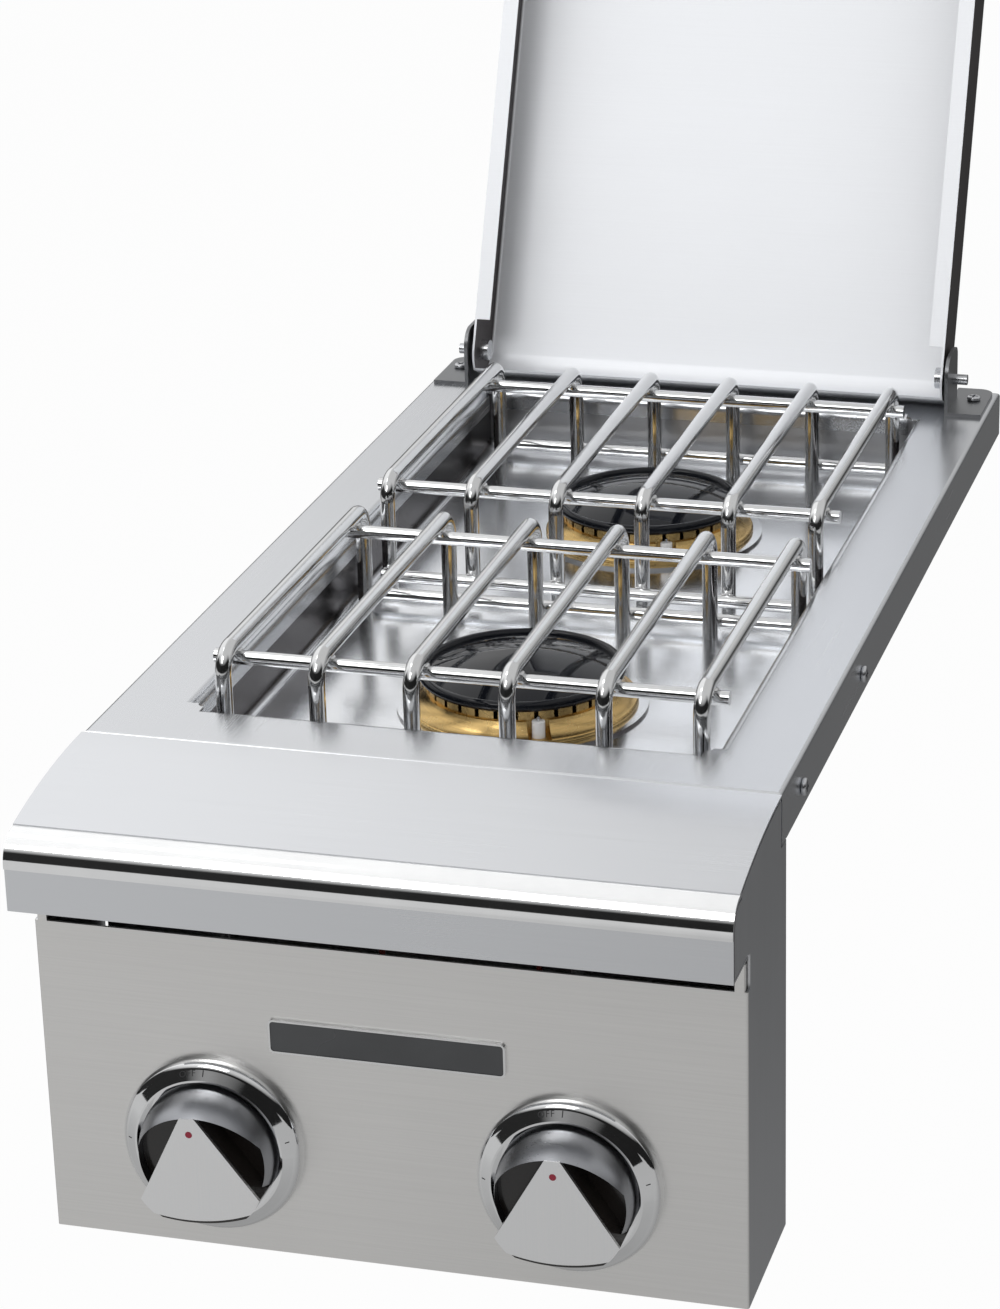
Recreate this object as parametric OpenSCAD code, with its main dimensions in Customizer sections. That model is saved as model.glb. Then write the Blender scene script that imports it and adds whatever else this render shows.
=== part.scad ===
// Double side burner for an outdoor kitchen: a slide-in unit that hangs by its deck flanges.
// Millimetres. +Z is up, the controls face -Y, and the counter's top is the plane z = 0.
// The origin is on the centre line, where the deck meets the hood.

/* [Deck] */
// Width over the deck, hood and control box
unit_w = 330; // [300:1:380]
// Length of the deck from the hood seam to the rear edge
deck_l = 591; // [585:1:640]
// Height of the deck's top above the counter
deck_h = 25; // [22:0.5:30]
// Thickness of the folded sheet
sheet = 1.2; // [0.8:0.1:1.5]
// Outer radius of the deck's bends
bend_r = 2.5; // [2:0.1:3.5]
// Width of the hem that rests on the counter
rest_w = 10; // [6:1:14]

/* [Well] */
// Width of the deck's opening
well_w = 251; // [245:1:258]
// Length of the deck's opening
well_l = 498; // [492:1:502]
// Distance from the hood seam to the opening
well_y = 39; // [34:1:41]
// Outer radius of the opening's bends
lip_r = 5; // [3:0.5:6]
// Depth of the well's floor below the deck's top
well_d = 36; // [34:1:40]
// Radius of the corner reliefs in the opening
relief_r = 3.5; // [2:0.5:4]
// Height of the stamped land round each burner
land_h = 1.5; // [1:0.1:2]
// Depth of the burner box below the deck's top
burner_box_d = 80; // [78:1:84]

/* [Control box] */
// Height from the box's bottom to the deck's top
box_h = 221; // [210:1:240]
// Distance of the control panel's face in front of the seam
panel_y = 68; // [66:1:70]
// Distance of the box's rear face behind the seam
box_back = 8.6; // [8:0.1:9.5]
// Height of the hood's front flange
flange_h = 21.6; // [18:0.2:24]
// Radius of the polished bullnose
bull_r = 13.9; // [13:0.1:15]
// Distance of the bullnose's centre in front of the seam
bull_y = 82.8; // [81:0.1:84]
// Radius of the hood's top curve
hood_r = 341; // [330:1:352]

/* [Burners] */
// Distance of the front burner's centre from the seam
burner_y = 160; // [159:1:161]
// Distance between the burners' centres
burner_pitch = 254.5; // [254:0.5:256]
// Radius of a brass head's flange
head_r = 57; // [55:0.5:58]
// Radius of the port band
band_r = 47; // [45.5:0.5:48]
// Height of the cap's seat above the land
head_h = 14.5; // [13:0.5:16]
// Number of flame ports in a head
port_n = 30; // [24:1:34]
// Width of a flame port
port_w = 2.2; // [1.6:0.1:2.6]
// Radius of a cap
cap_r = 51; // [50:0.5:53]
// Height of a cap's crown above its seat
cap_h = 11; // [9:0.5:12]

/* [Grates] */
// Diameter of the grate rods
rod_d = 8; // [7:0.5:9]
// Height of the grate's top above the deck's top
grate_h = 25; // [22:1:28]
// Distance between the long rods
rod_pitch = 46.2; // [44:0.2:47.5]
// Distance from the seam to the front grate's first legs
grate_y = 55.5; // [52:0.5:57]
// Distance between the two rows of legs of one grate
grate_l = 211; // [208:1:213]
// Number of long rods in one grate
rod_n = 6; // [4:1:6]
// Radius of the rods' bends at their centre line
rod_bend = 11; // [9:0.5:13]

/* [Knobs] */
// Distance of each knob from the centre line
knob_x = 84; // [78:1:88]
// Height of the knobs' axis above the box's bottom
knob_z = 54; // [52:1:60]
// Outer radius of a bezel
bezel_r = 43; // [41:0.5:45]
// Radius of a knob's body
knob_r = 32.5; // [31:0.5:34]
// Distance of a knob's face from the control panel
knob_h = 27.5; // [26:0.5:30]
// Angle of the left knob's pointer to the left of upright
left_turn = 6; // [0:1:10]
// Angle of the right knob's pointer to the left of upright
right_turn = 2; // [0:1:10]
// Travel of a knob when it is pressed
push = 3; // [2:0.5:3]

/* [Lid] */
// Width of the lid over its side flanges
lid_w = 278; // [270:1:279]
// Depth of the lid
lid_d = 36; // [34:0.5:38]
// Distance from the seam to the closed lid's front edge
lid_y = 12; // [8:1:18]
// Angle past upright at which the open lid rests
lid_lean = 24; // [15:1:24]
// Distance from the seam to the lid's pins
pin_y = 560; // [556:1:560]
// Height of the lid's pins above the deck's top
pin_h = 16.3; // [16:0.1:17]
// Diameter of the lid's pins
pin_d = 6; // [5:0.5:7]

/* [Hidden] */
$fn = 64;

// Clearances
fit = 0.05;
gap = 0.3;
eps = 0.01;

// Deck and well
half_w = unit_w / 2;
deck_top = deck_h;
deck_under = deck_top - sheet;
lip_drop = 6.5;
pan_half = well_w / 2 + sheet + gap;
pan_y0 = well_y - sheet - gap;
pan_y1 = well_y + well_l + sheet + gap;
pan_flange = 9;
floor_z = deck_top - well_d;
land_z = floor_z + land_h;
pan_bend = 5;
rim_r = lip_r - sheet - gap;
land_r = 62;
pan_hole_r = 38;
burner_box_half = pan_half + 11;
burner_box_end = pan_y1 + 13;
burner_box_z = deck_top - burner_box_d;

// Control box
box_z = deck_top - box_h;
panel_face = -panel_y - gap;
panel_back = panel_face + sheet;
return_d = 16;
bull_z = 0.2;
hood_bottom = bull_z - flange_h - sheet / 2;
hood_edge_z = deck_top - hood_r + sqrt(pow(hood_r - sheet / 2, 2) - pow(bull_y, 2));
joggle_w = 3;
plate_gap = 0.9;
panel_top = hood_bottom - 17;
ear_w = 4.3;
ear_in = 1.7;
slit_d = 3;
seam = 0.45;
trim_t = 0.95;
trim_foot = 1.5;
skin_r = bull_r - trim_t;
arm_l = 200;
side_screw_y = [42, 181];
side_screw_z = 11;
box_inset = 6;
front_screw_x = 120;
front_screw_y = panel_back + 8;
rear_screw_x = 100;
rear_screw_y = box_back - sheet - 6;
screw_hole_r = 2.1;
tray_h = 12;
vent_w = 5;
vent_pitch = 16;
vent_y = [-30, -6];
louvre_pitch = 18;
louvre_h = [34, 64];

// Knobs and valves
axis_z = box_z + knob_z;
bezel_plate = 1.6;
bezel_in = knob_r + 2;
knob_front = panel_face - knob_h;
knob_back = panel_face - bezel_plate - push - 0.7;
face_t = 1.6;
rim_w = 2.3;
dome_base = 1.5;
seat_w = 4.5;
seat_d = 5;
stem_seat = 14;
core_gap = 0.1;
grip_top = 0.78 * knob_r;
grip_top_w = 7.2;
grip_slope = 0.615;
grip_foot_r = 77;
face_foot = 0.805 * knob_r;
core_foot = 0.865 * knob_r;
dot_z = 0.54 * knob_r;
dot_r = 1.6;
stem_r = 3;
washer_r = 6.5;
pocket_r = 7;
pocket_d = 9;
valve_y0 = panel_back;
valve_flange = 3;
valve_body_r = 13;
valve_len = 33;
stub_r = 6;
manifold_r = 10;
manifold_y = -14;
manifold_half = 118;
outlet_y = -46;
outlet_h = 24;
valve_screw_x = 18;
valve_screw_r = 2;

// Burner supply
tube_r = 4;
tube_bore = 3;
tube_bend = 14;
tube_z = -34;
boss_x = 44;
cup_r = 34;
cup_flange_r = 52;
cup_z = -41;
cup_top = land_z - sheet;
cup_wall = 3;
jet_r = 5;
jet_top = -21;
spigot_r = cup_r - cup_wall - gap;
screw_circle = 46;

// Igniters: place from a burner's centre
ign_x = 21;
ign_y = -46;
ceramic_r = 3.2;
ceramic_top = 0.5;
ceramic_bottom = -40;
tip_r = 0.8;
lead_r = 1.5;
lead_bend = 7;
lead_z = burner_box_z + sheet + lead_r;
front_lead_x = -14;
rear_lead_x = 60;
module_w = 60;
module_y = [-48, -8];
module_h = 24;

// Grates
rod_r = rod_d / 2;
cross_r = rod_r - 0.5;
rod_z0 = deck_top + grate_h - rod_r;
rod_x0 = -(rod_n - 1) * rod_pitch / 2;
cross_inset = 16;
cross_stub = 9.5;
foot_stub = 2;
foot_z = floor_z + rod_r + 3;
grate_ys = [grate_y, grate_y + burner_pitch - 2];

// Lid
pin_r = pin_d / 2;
pin_z = deck_top + pin_h;
lid_half = lid_w / 2;
hem_gap = 0.5;
hem_w = 9;
lid_z0 = deck_top + hem_gap;
lid_z1 = lid_z0 + lid_d;
lid_tail = 13.4;
lid_y1 = pin_y + lid_tail;
lid_rear_r = 14;
lid_edge_r = 3;
lid_open = 90 + lid_lean;
bracket_t = 2;
bracket_x = lid_half + 2;
bracket_w = 21;
bracket_y0 = pin_y - 19;
bracket_l = 48;
bracket_h = 33;
bracket_back = 13;
bracket_front_r = 11;
bracket_rear_r = 6;
hinge_screw_x = bracket_x + 12.5;
hinge_screw_y = pin_y + 8;

burner_ys = [burner_y, burner_y + burner_pitch];

// Profiles and solids that several pieces share

// A rectangle from [x0, z0] to [x1, z1] whose upper corners are round
module round_top(x0, x1, z0, z1, r0, r1) {
    translate([x0, z0]) square([x1 - x0, z1 - z0 - max(r0, r1)]);
    translate([x0 + r0, z0]) square([x1 - x0 - r0 - r1, z1 - z0]);
    translate([x0, z0]) square([(x1 - x0) / 2, z1 - z0 - r0]);
    translate([(x0 + x1) / 2, z0]) square([(x1 - x0) / 2, z1 - z0 - r1]);
    translate([x0 + r0, z1 - r0]) circle(r0);
    translate([x1 - r1, z1 - r1]) circle(r1);
}

// A block along Y whose side, front and rear upper edges are round
module domed_block(half, y0, y1, z0, z1, r, front_r, rear_r) {
    intersection() {
        translate([0, y1, 0]) rotate([90, 0, 0]) linear_extrude(y1 - y0)
            round_top(-half, half, z0, z1, r, r);
        translate([-half, 0, 0]) rotate([90, 0, 90]) linear_extrude(2 * half)
            round_top(y0, y1, z0, z1, front_r, rear_r);
    }
}

// A box given by its two corners
module box(a, b) {
    translate(a) cube([b[0] - a[0], b[1] - a[1], b[2] - a[2]]);
}

// Cylinders along X, Y and Z from one coordinate to another
module rod_x(x0, x1, y, z, r) {
    translate([x0, y, z]) rotate([0, 90, 0]) cylinder(h = x1 - x0, r = r);
}
module rod_y(y0, y1, x, z, r) {
    translate([x, y0, z]) rotate([-90, 0, 0]) cylinder(h = y1 - y0, r = r);
}
module rod_z(z0, z1, x, y, r) {
    translate([x, y, z0]) cylinder(h = z1 - z0, r = r);
}

// A quarter bend that starts at the origin along +X and ends along +Y
module elbow(r, bend) {
    translate([0, bend, 0]) rotate([0, 0, -90]) rotate_extrude(angle = 90)
        translate([bend, 0]) circle(r);
}

// A quarter round lip along X: the sheet turns down from the deck's top
module lip_section() {
    difference() {
        circle(lip_r);
        circle(lip_r - sheet);
        translate([-2 * lip_r, -lip_r]) square([2 * lip_r, 2 * lip_r]);
        translate([-lip_r, -2 * lip_r]) square([2 * lip_r, 2 * lip_r]);
    }
    translate([lip_r - sheet, -lip_drop]) square([sheet, lip_drop + eps]);
}
module lip(len) {
    linear_extrude(len) lip_section();
}

// Deck: top plate, side flanges with rest hems, rear flange and the opening's lips,
// which end at a round relief in each corner
module top_deck() {
    cut_half = well_w / 2 + lip_r;
    cut_y0 = well_y - lip_r;
    cut_y1 = well_y + well_l + lip_r;
    lip_half = well_w / 2 - lip_r;
    lip_y0 = well_y + lip_r;
    lip_y1 = well_y + well_l - lip_r;
    lip_z = deck_top - lip_r;
    color("silver") difference() {
        union() {
            difference() {
                domed_block(half_w, 0, deck_l, 0, deck_top, bend_r, bend_r, bend_r);
                domed_block(half_w - sheet, sheet, deck_l - sheet, sheet, deck_under,
                    bend_r - sheet, bend_r - sheet, bend_r - sheet);
                box([-half_w + rest_w, sheet, -1], [half_w - rest_w, deck_l - sheet, sheet + eps]);
                box([-half_w + sheet, -1, -1], [half_w - sheet, box_back + gap, sheet + eps]);
                box([-half_w - 1, -1, -1], [half_w + 1, box_back + gap, gap]);
                box([-half_w + sheet, -1, -1], [half_w - sheet, sheet + eps, deck_top - 2 * bend_r]);
                box([-cut_half, lip_y0, 0], [cut_half, lip_y1, deck_top + 1]);
                box([-lip_half, cut_y0, 0], [lip_half, cut_y1, deck_top + 1]);
                for (sx = [-1, 1], y = [lip_y0, lip_y1])
                    rod_z(0, deck_top + 1, sx * lip_half, y, relief_r);
            }
            translate([-cut_half, lip_y0, lip_z]) rotate([-90, 0, 0]) mirror([0, 1, 0])
                lip(lip_y1 - lip_y0);
            translate([cut_half, lip_y0, lip_z]) mirror([1, 0, 0]) rotate([-90, 0, 0])
                mirror([0, 1, 0]) lip(lip_y1 - lip_y0);
            translate([-lip_half, cut_y0, lip_z]) rotate([90, 0, 90]) lip(2 * lip_half);
            translate([-lip_half, cut_y1, lip_z]) mirror([0, 1, 0]) rotate([90, 0, 90])
                lip(2 * lip_half);
        }
        for (sx = [-1, 1], y = side_screw_y)
            rod_x(sx * half_w - 5, sx * half_w + 5, y, side_screw_z, 2.1);
        for (sx = [-1, 1])
            rod_z(deck_under - 1, deck_top + 1, sx * hinge_screw_x, hinge_screw_y, 2.1);
    }
}

// Drip well: a drawn tray below the opening, with a stamped land round each burner
module well_body(half, y0, y1, z0, z1, r) {
    box([-half, y0, z0 + r], [half, y1, z1]);
    box([-half + r, y0 + r, z0], [half - r, y1 - r, z0 + r + eps]);
    for (sx = [-1, 1]) {
        rod_y(y0 + r, y1 - r, sx * (half - r), z0 + r, r);
        for (y = [y0 + r, y1 - r])
            translate([sx * (half - r), y, z0 + r]) sphere(r);
    }
    for (y = [y0 + r, y1 - r])
        rod_x(-half + r, half - r, y, z0 + r, r);
}
module rim_edges() {
    span_x = 2 * pan_half;
    span_y = pan_y1 - pan_y0;
    translate([pan_half, pan_y1, deck_under]) rotate([90, 0, 0]) linear_extrude(span_y) children();
    translate([-pan_half, pan_y0, deck_under]) rotate([90, 0, 180]) linear_extrude(span_y) children();
    translate([-pan_half, pan_y1, deck_under]) rotate([90, 0, 90]) linear_extrude(span_x) children();
    translate([pan_half, pan_y0, deck_under]) rotate([90, 0, -90]) linear_extrude(span_x) children();
}
module rim_round() {
    difference() {
        translate([-1, -rim_r]) square([rim_r + 1, rim_r + 1]);
        translate([rim_r, -rim_r]) circle(rim_r);
    }
}
module rim_fillet() {
    difference() {
        translate([sheet - eps, -rim_r]) square(rim_r - sheet + eps);
        translate([rim_r, -rim_r]) circle(rim_r - sheet);
    }
}
module well_pan() {
    color("gainsboro") difference() {
        union() {
            well_body(pan_half + sheet, pan_y0 - sheet, pan_y1 + sheet, floor_z - sheet,
                deck_under, pan_bend + sheet);
            box([-pan_half - pan_flange, pan_y0 - sheet, deck_under - sheet],
                [pan_half + pan_flange, pan_y1 + pan_flange, deck_under]);
            rim_edges() rim_fillet();
        }
        difference() {
            well_body(pan_half, pan_y0, pan_y1, floor_z, deck_under + 1, pan_bend);
            for (y = burner_ys)
                rod_z(floor_z - 1, land_z, 0, y, land_r);
        }
        rim_edges() rim_round();
        for (y = burner_ys) {
            rod_z(floor_z - sheet - 1, land_z - sheet, 0, y, land_r - sheet);
            rod_z(floor_z - sheet - 1, land_z + 1, 0, y, pan_hole_r);
            rod_z(floor_z - sheet - 1, land_z + 1, ign_x, y + ign_y, ceramic_r + gap);
        }
    }
}

// Burner box: the folded housing that hangs below the deck round the well
module burner_box() {
    y0 = box_back + gap;
    flange = 10;
    color("darkgray") difference() {
        union() {
            box([-burner_box_half - sheet, y0, burner_box_z],
                [burner_box_half + sheet, burner_box_end + sheet, deck_under - sheet - gap]);
            box([-burner_box_half - flange, y0, deck_under - 2 * sheet - gap],
                [burner_box_half + flange, burner_box_end + flange, deck_under - sheet - gap]);
        }
        box([-burner_box_half, y0 - 1, burner_box_z + sheet],
            [burner_box_half, burner_box_end, deck_top]);
        for (ix = [-2 : 2], iy = [0 : 3])
            box([ix * 45 - 14, 90 + iy * 125, burner_box_z - 1],
                [ix * 45 + 14, 94 + iy * 125, burner_box_z + sheet + 1]);
    }
}

// Hood section in Y and Z: curved top, bend under the bullnose, front flange and its return
module hood_top(r) {
    intersection() {
        translate([0, deck_top - hood_r]) circle(r, $fn = 720);
        translate([-bull_y, 0]) square([bull_y - gap, deck_top + 1]);
    }
}
module hood_section() {
    difference() {
        hood_top(hood_r);
        hood_top(hood_r - sheet);
    }
    translate([-bull_y, bull_z + skin_r - sheet])
        square([joggle_w, hood_edge_z - (bull_z + skin_r - sheet)]);
    translate([-bull_y, bull_z]) intersection() {
        difference() {
            circle(skin_r);
            circle(skin_r - sheet);
        }
        translate([-2 * skin_r, 0]) square([2 * skin_r, 2 * skin_r]);
    }
    translate([-bull_y - skin_r, hood_bottom]) square([sheet, bull_z - hood_bottom]);
    translate([-bull_y - skin_r, hood_bottom]) square([bull_y + skin_r + panel_face - gap, sheet]);
}
module front_hood() {
    color("whitesmoke") {
        translate([-half_w, 0, 0]) rotate([90, 0, 90]) linear_extrude(unit_w) hood_section();
        box([-half_w + 5, -sheet - seam, deck_top - 14], [half_w - 5, -seam, deck_top - sheet / 2]);
    }
}

// Bullnose: a polished skin that is wrapped over the hood's bend
module bullnose_trim() {
    color("white") translate([-half_w, 0, 0]) rotate([90, 0, 90]) linear_extrude(unit_w)
        translate([-bull_y, bull_z]) {
            difference() {
                circle(bull_r);
                circle(skin_r);
                translate([0, -2 * bull_r]) square(4 * bull_r);
                translate([-2 * bull_r, -2 * bull_r]) square([4 * bull_r, 2 * bull_r]);
            }
            translate([-bull_r, -trim_foot]) square([trim_t, trim_foot + eps]);
        }
}

// Side plate: closes the hood's end and the control box, with an arm inside the deck's flange
module side_outline() {
    inner_flange = -bull_y - skin_r + sheet + plate_gap;
    intersection() {
        translate([0, deck_top - hood_r]) circle(hood_r - sheet - plate_gap, $fn = 720);
        translate([-bull_y + 3, -10]) square([bull_y - 3 - sheet - 2 * gap, deck_top + 10]);
    }
    intersection() {
        translate([-bull_y, bull_z]) circle(skin_r - sheet - plate_gap);
        translate([inner_flange, bull_z - eps]) square([2 * skin_r, skin_r]);
    }
    translate([inner_flange, hood_bottom + sheet + gap])
        square([-inner_flange - sheet - 2 * gap, bull_z - hood_bottom - sheet]);
    translate([-bull_y, bull_z - 5]) square([6, skin_r - sheet - plate_gap + 3]);
    difference() {
        translate([panel_back, box_z]) square([box_back - panel_back, -box_z - gap]);
        translate([panel_back - eps, panel_top]) square([slit_d, hood_bottom - panel_top]);
    }
}
module side_panel() {
    color("dimgray") difference() {
        union() {
            rotate([90, 0, 90]) linear_extrude(sheet) side_outline();
            box([-sheet, -24, 3], [0, arm_l, 20]);
            box([-sheet, -24, 3], [sheet / 2, -3, 20]);
        }
        for (y = side_screw_y)
            rod_x(-2 * sheet, 3, y, side_screw_z, 2.1);
    }
}
module left_side_panel() {
    mirror([1, 0, 0]) translate([half_w - sheet, 0, 0]) side_panel();
}
module right_side_panel() {
    translate([half_w - sheet, 0, 0]) side_panel();
}

// Control panel: front sheet with round side edges, a bottom return and side returns.
// Its top edge hangs free between two ears that reach up to the hood.
module control_panel() {
    top_z = hood_bottom - gap;
    ear_x = half_w - ear_in;
    color("lightgray") difference() {
        union() {
            box([-half_w + sheet, panel_face, box_z], [half_w - sheet, panel_back, top_z]);
            for (sx = [-1, 1]) intersection() {
                rod_z(box_z, top_z, sx * (half_w - sheet), panel_back, sheet);
                box([-half_w, panel_face, box_z], [half_w, panel_back, top_z]);
            }
            for (sx = [-1, 1])
                box([min(sx * (half_w - sheet - gap), sx * (half_w - 2 * sheet - gap)),
                    panel_back - eps, box_z + 4],
                    [max(sx * (half_w - sheet - gap), sx * (half_w - 2 * sheet - gap)),
                    panel_back + return_d, top_z - 4]);
            box([-half_w + box_inset, panel_back - eps, box_z],
                [half_w - box_inset, panel_back + return_d, box_z + sheet]);
        }
        box([-ear_x + ear_w, panel_face - 1, panel_top], [ear_x - ear_w, panel_back + 1, top_z + 1]);
        for (x = [-ear_x - 3, ear_x])
            box([x, panel_face - 1, panel_top], [x + 3, panel_back, top_z + 1]);
        for (sx = [-1, 1]) {
            rod_y(panel_face - 1, panel_back + 1, sx * knob_x, axis_z, 9);
            for (dx = [-1, 1])
                rod_y(panel_face - 1, panel_back + 1, sx * knob_x + dx * valve_screw_x, axis_z,
                    valve_screw_r + fit);
        }
        for (sx = [-1, 1])
            rod_z(box_z - 1, box_z + sheet + 1, sx * front_screw_x, front_screw_y, screw_hole_r);
    }
}

// Bottom of the control box, on the control panel's return
module box_bottom() {
    z0 = box_z + sheet;
    x1 = half_w - box_inset;
    y1 = box_back - sheet - gap;
    color("darkgray") difference() {
        union() {
            box([-x1, panel_back + gap, z0], [x1, y1, z0 + sheet]);
            for (sx = [-1, 1])
                box([min(sx * x1, sx * (x1 - sheet)), panel_back + return_d + 3, z0],
                    [max(sx * x1, sx * (x1 - sheet)), y1, z0 + tray_h]);
        }
        for (sx = [-1, 1]) {
            rod_z(z0 - 1, z0 + sheet + 1, sx * front_screw_x, front_screw_y, screw_hole_r);
            rod_z(z0 - 1, z0 + sheet + 1, sx * rear_screw_x, rear_screw_y, screw_hole_r);
        }
        for (i = [-3 : 3])
            box([i * vent_pitch - vent_w / 2, vent_y[0], z0 - 1],
                [i * vent_pitch + vent_w / 2, vent_y[1], z0 + sheet + 1]);
    }
}

// Rear wall of the control box, with holes for the tubes, the leads and the gas inlet
module rear_panel() {
    y0 = box_back - sheet;
    z0 = box_z + sheet;
    x1 = half_w - box_inset - 2;
    color("darkgray") difference() {
        union() {
            box([-half_w + 2 * sheet + 2 * gap, y0, z0], [half_w - 2 * sheet - 2 * gap, box_back, -gap]);
            box([-half_w + rest_w + gap, y0, z0], [half_w - rest_w - gap, box_back, deck_under - gap]);
            box([-x1, y0 - tray_h, z0 + sheet], [x1, y0 + eps, z0 + 2 * sheet]);
        }
        for (sx = [-1, 1])
            rod_y(y0 - 1, box_back + 1, sx * knob_x, tube_z, tube_r + 2);
        rod_y(y0 - 1, box_back + 1, front_lead_x, lead_z, lead_r + 0.8);
        rod_y(y0 - 1, box_back + 1, rear_lead_x, lead_z, lead_r + 0.8);
        rod_y(y0 - 1, box_back + 1, manifold_half + 14, axis_z, 10);
        for (sx = [-1, 1])
            rod_z(z0, z0 + 3 * sheet, sx * rear_screw_x, rear_screw_y, screw_hole_r);
        for (i = [-4 : 4])
            box([i * louvre_pitch - vent_w / 2, y0 - 1, axis_z + louvre_h[0]],
                [i * louvre_pitch + vent_w / 2, box_back + 1, axis_z + louvre_h[1]]);
    }
}

// Bezel: a polished ring with a thin inner lip, on a flat plate behind the knob
module bezel() {
    color("white") difference() {
        rotate([90, 0, 0]) rotate_extrude() difference() {
            union() {
                square([bezel_r, 2.4]);
                translate([bezel_r - 5, 2.4]) circle(5);
                polygon([[0, 0], [bezel_r - 5, 0], [bezel_r - 2.6, 6.7], [bezel_in + 1, 9.6],
                    [bezel_in, 9.6], [0, 9.6]]);
            }
            translate([0, -10]) square([bezel_r + 1, 10]);
            translate([-1, bezel_plate]) square([bezel_in + 1, 10]);
            translate([-1, -1]) square([13, 5]);
        }
        for (dx = [-1, 1])
            rod_y(-bezel_plate - 1, 1, dx * valve_screw_x, 0, valve_screw_r + fit);
    }
}
module at_knob(sx) {
    translate([sx * knob_x, 0, axis_z]) children();
}
module at_left_turn() { at_knob(-1) rotate([0, -left_turn, 0]) children(); }
module at_right_turn() { at_knob(1) rotate([0, -right_turn, 0]) children(); }
module left_bezel() { at_knob(-1) translate([0, panel_face, 0]) bezel(); }
module right_bezel() { at_knob(1) translate([0, panel_face, 0]) bezel(); }

// Knob outlines, seen from the front, in X and Z about the knob's axis
module grip_outline(foot, grow) {
    width = grip_top_w / 2 + grow;
    reach = grip_top + knob_r;
    intersection() {
        polygon([[-width, grip_top], [width, grip_top],
            [width + grip_slope * reach, -knob_r], [-width - grip_slope * reach, -knob_r]]);
        circle(knob_r + grow);
        translate([0, grip_foot_r - foot]) circle(grip_foot_r + grow, $fn = 180);
    }
}
module scoop_outline(grow) {
    intersection() {
        circle(knob_r - rim_w + grow);
        translate([0, grip_top - knob_r]) circle(knob_r + grow);
        translate([-knob_r, -knob_r / 2]) square(2 * knob_r);
    }
}
module front_extrude(y_back, y_front) {
    translate([0, y_back, 0]) rotate([90, 0, 0]) linear_extrude(y_back - y_front) children();
}

// Shell: a round crown with a thin rim round the two finger scoops
module knob_shell() {
    color("slategray") difference() {
        translate([0, knob_back, 0]) rotate([90, 0, 0]) rotate_extrude() difference() {
            union() {
                square([knob_r, dome_base]);
                intersection() {
                    translate([0, dome_base]) circle(knob_r, $fn = 128);
                    square([knob_r, knob_back - knob_front]);
                }
            }
            square([knob_r - seat_w, seat_d]);
        }
        front_extrude(knob_back - seat_d, knob_front - 1) scoop_outline(0);
        front_extrude(knob_back - seat_d, knob_front - 1) grip_outline(core_foot, core_gap);
    }
}

// Core: black floor of the two finger scoops, the grip's body and the hub for the stem
module knob_core() {
    y0 = knob_back - seat_d - core_gap;
    color("black") difference() {
        union() {
            front_extrude(y0, y0 - 3) scoop_outline(-core_gap);
            front_extrude(y0, knob_front + face_t) grip_outline(core_foot, 0);
            front_extrude(knob_back, y0 - 1) circle(8);
        }
        rod_y(knob_back - stem_seat, knob_back + 1, 0, 0, stem_r + fit);
    }
}

// Face: the brushed plate on the grip, with a seat for the dot
module knob_face() {
    color("lightgray") difference() {
        front_extrude(knob_front + face_t, knob_front) grip_outline(face_foot, 0);
        rod_y(knob_front - 1, knob_front + 0.8, 0, dot_z, dot_r + fit);
    }
}
module knob_dot() {
    color("red") rod_y(knob_front - 0.1, knob_front + 0.8, 0, dot_z, dot_r);
}
module left_knob_shell() { at_left_turn() knob_shell(); }
module right_knob_shell() { at_right_turn() knob_shell(); }
module left_knob_core() { at_left_turn() knob_core(); }
module right_knob_core() { at_right_turn() knob_core(); }
module left_knob_face() { at_left_turn() knob_face(); }
module right_knob_face() { at_right_turn() knob_face(); }
module left_knob_dot() { at_left_turn() knob_dot(); }
module right_knob_dot() { at_right_turn() knob_dot(); }

// Valve stem and the thrust washer that is pushed in with it
module valve_stem() {
    color("goldenrod") difference() {
        rod_y(knob_back - stem_seat + 0.5, valve_y0 + pocket_d + 12, 0, 0, stem_r);
        box([-stem_r, knob_back - stem_seat, 0.7 * stem_r], [stem_r, knob_back - 1, stem_r + 1]);
    }
}
module stem_washer() {
    color("gray") difference() {
        rod_y(valve_y0 + 1, valve_y0 + 2.5, 0, 0, washer_r);
        rod_y(valve_y0, valve_y0 + 4, 0, 0, stem_r + fit);
    }
}
module left_valve_stem() { at_left_turn() valve_stem(); }
module right_valve_stem() { at_right_turn() valve_stem(); }
module left_stem_washer() { at_knob(-1) stem_washer(); }
module right_stem_washer() { at_knob(1) stem_washer(); }

// Gas valve: flange on the control panel, body, outlet boss and the stub into the manifold
module valve() {
    body_y0 = valve_y0 + valve_flange;
    color("peru") difference() {
        union() {
            box([-25, valve_y0, -12], [25, body_y0, 12]);
            rod_y(valve_y0, body_y0 + valve_len - 6, 0, 0, valve_body_r);
            rod_y(valve_y0, manifold_y - 1, 0, 0, stub_r);
            rod_z(0, outlet_h, 0, outlet_y, 7);
            rod_z(16, outlet_h, 0, outlet_y, 8.5);
        }
        rod_y(valve_y0 - 1, valve_y0 + pocket_d, 0, 0, pocket_r);
        rod_y(valve_y0, valve_y0 + pocket_d + 12 + push + 1, 0, 0, stem_r + fit);
        for (dx = [-1, 1])
            rod_y(valve_y0 - 1, body_y0 + 1, dx * valve_screw_x, 0, valve_screw_r + fit);
        rod_z(outlet_h - 6, outlet_h + 1, 0, outlet_y, tube_r + fit);
    }
}
module left_valve() { at_knob(-1) valve(); }
module right_valve() { at_knob(1) valve(); }

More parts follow.
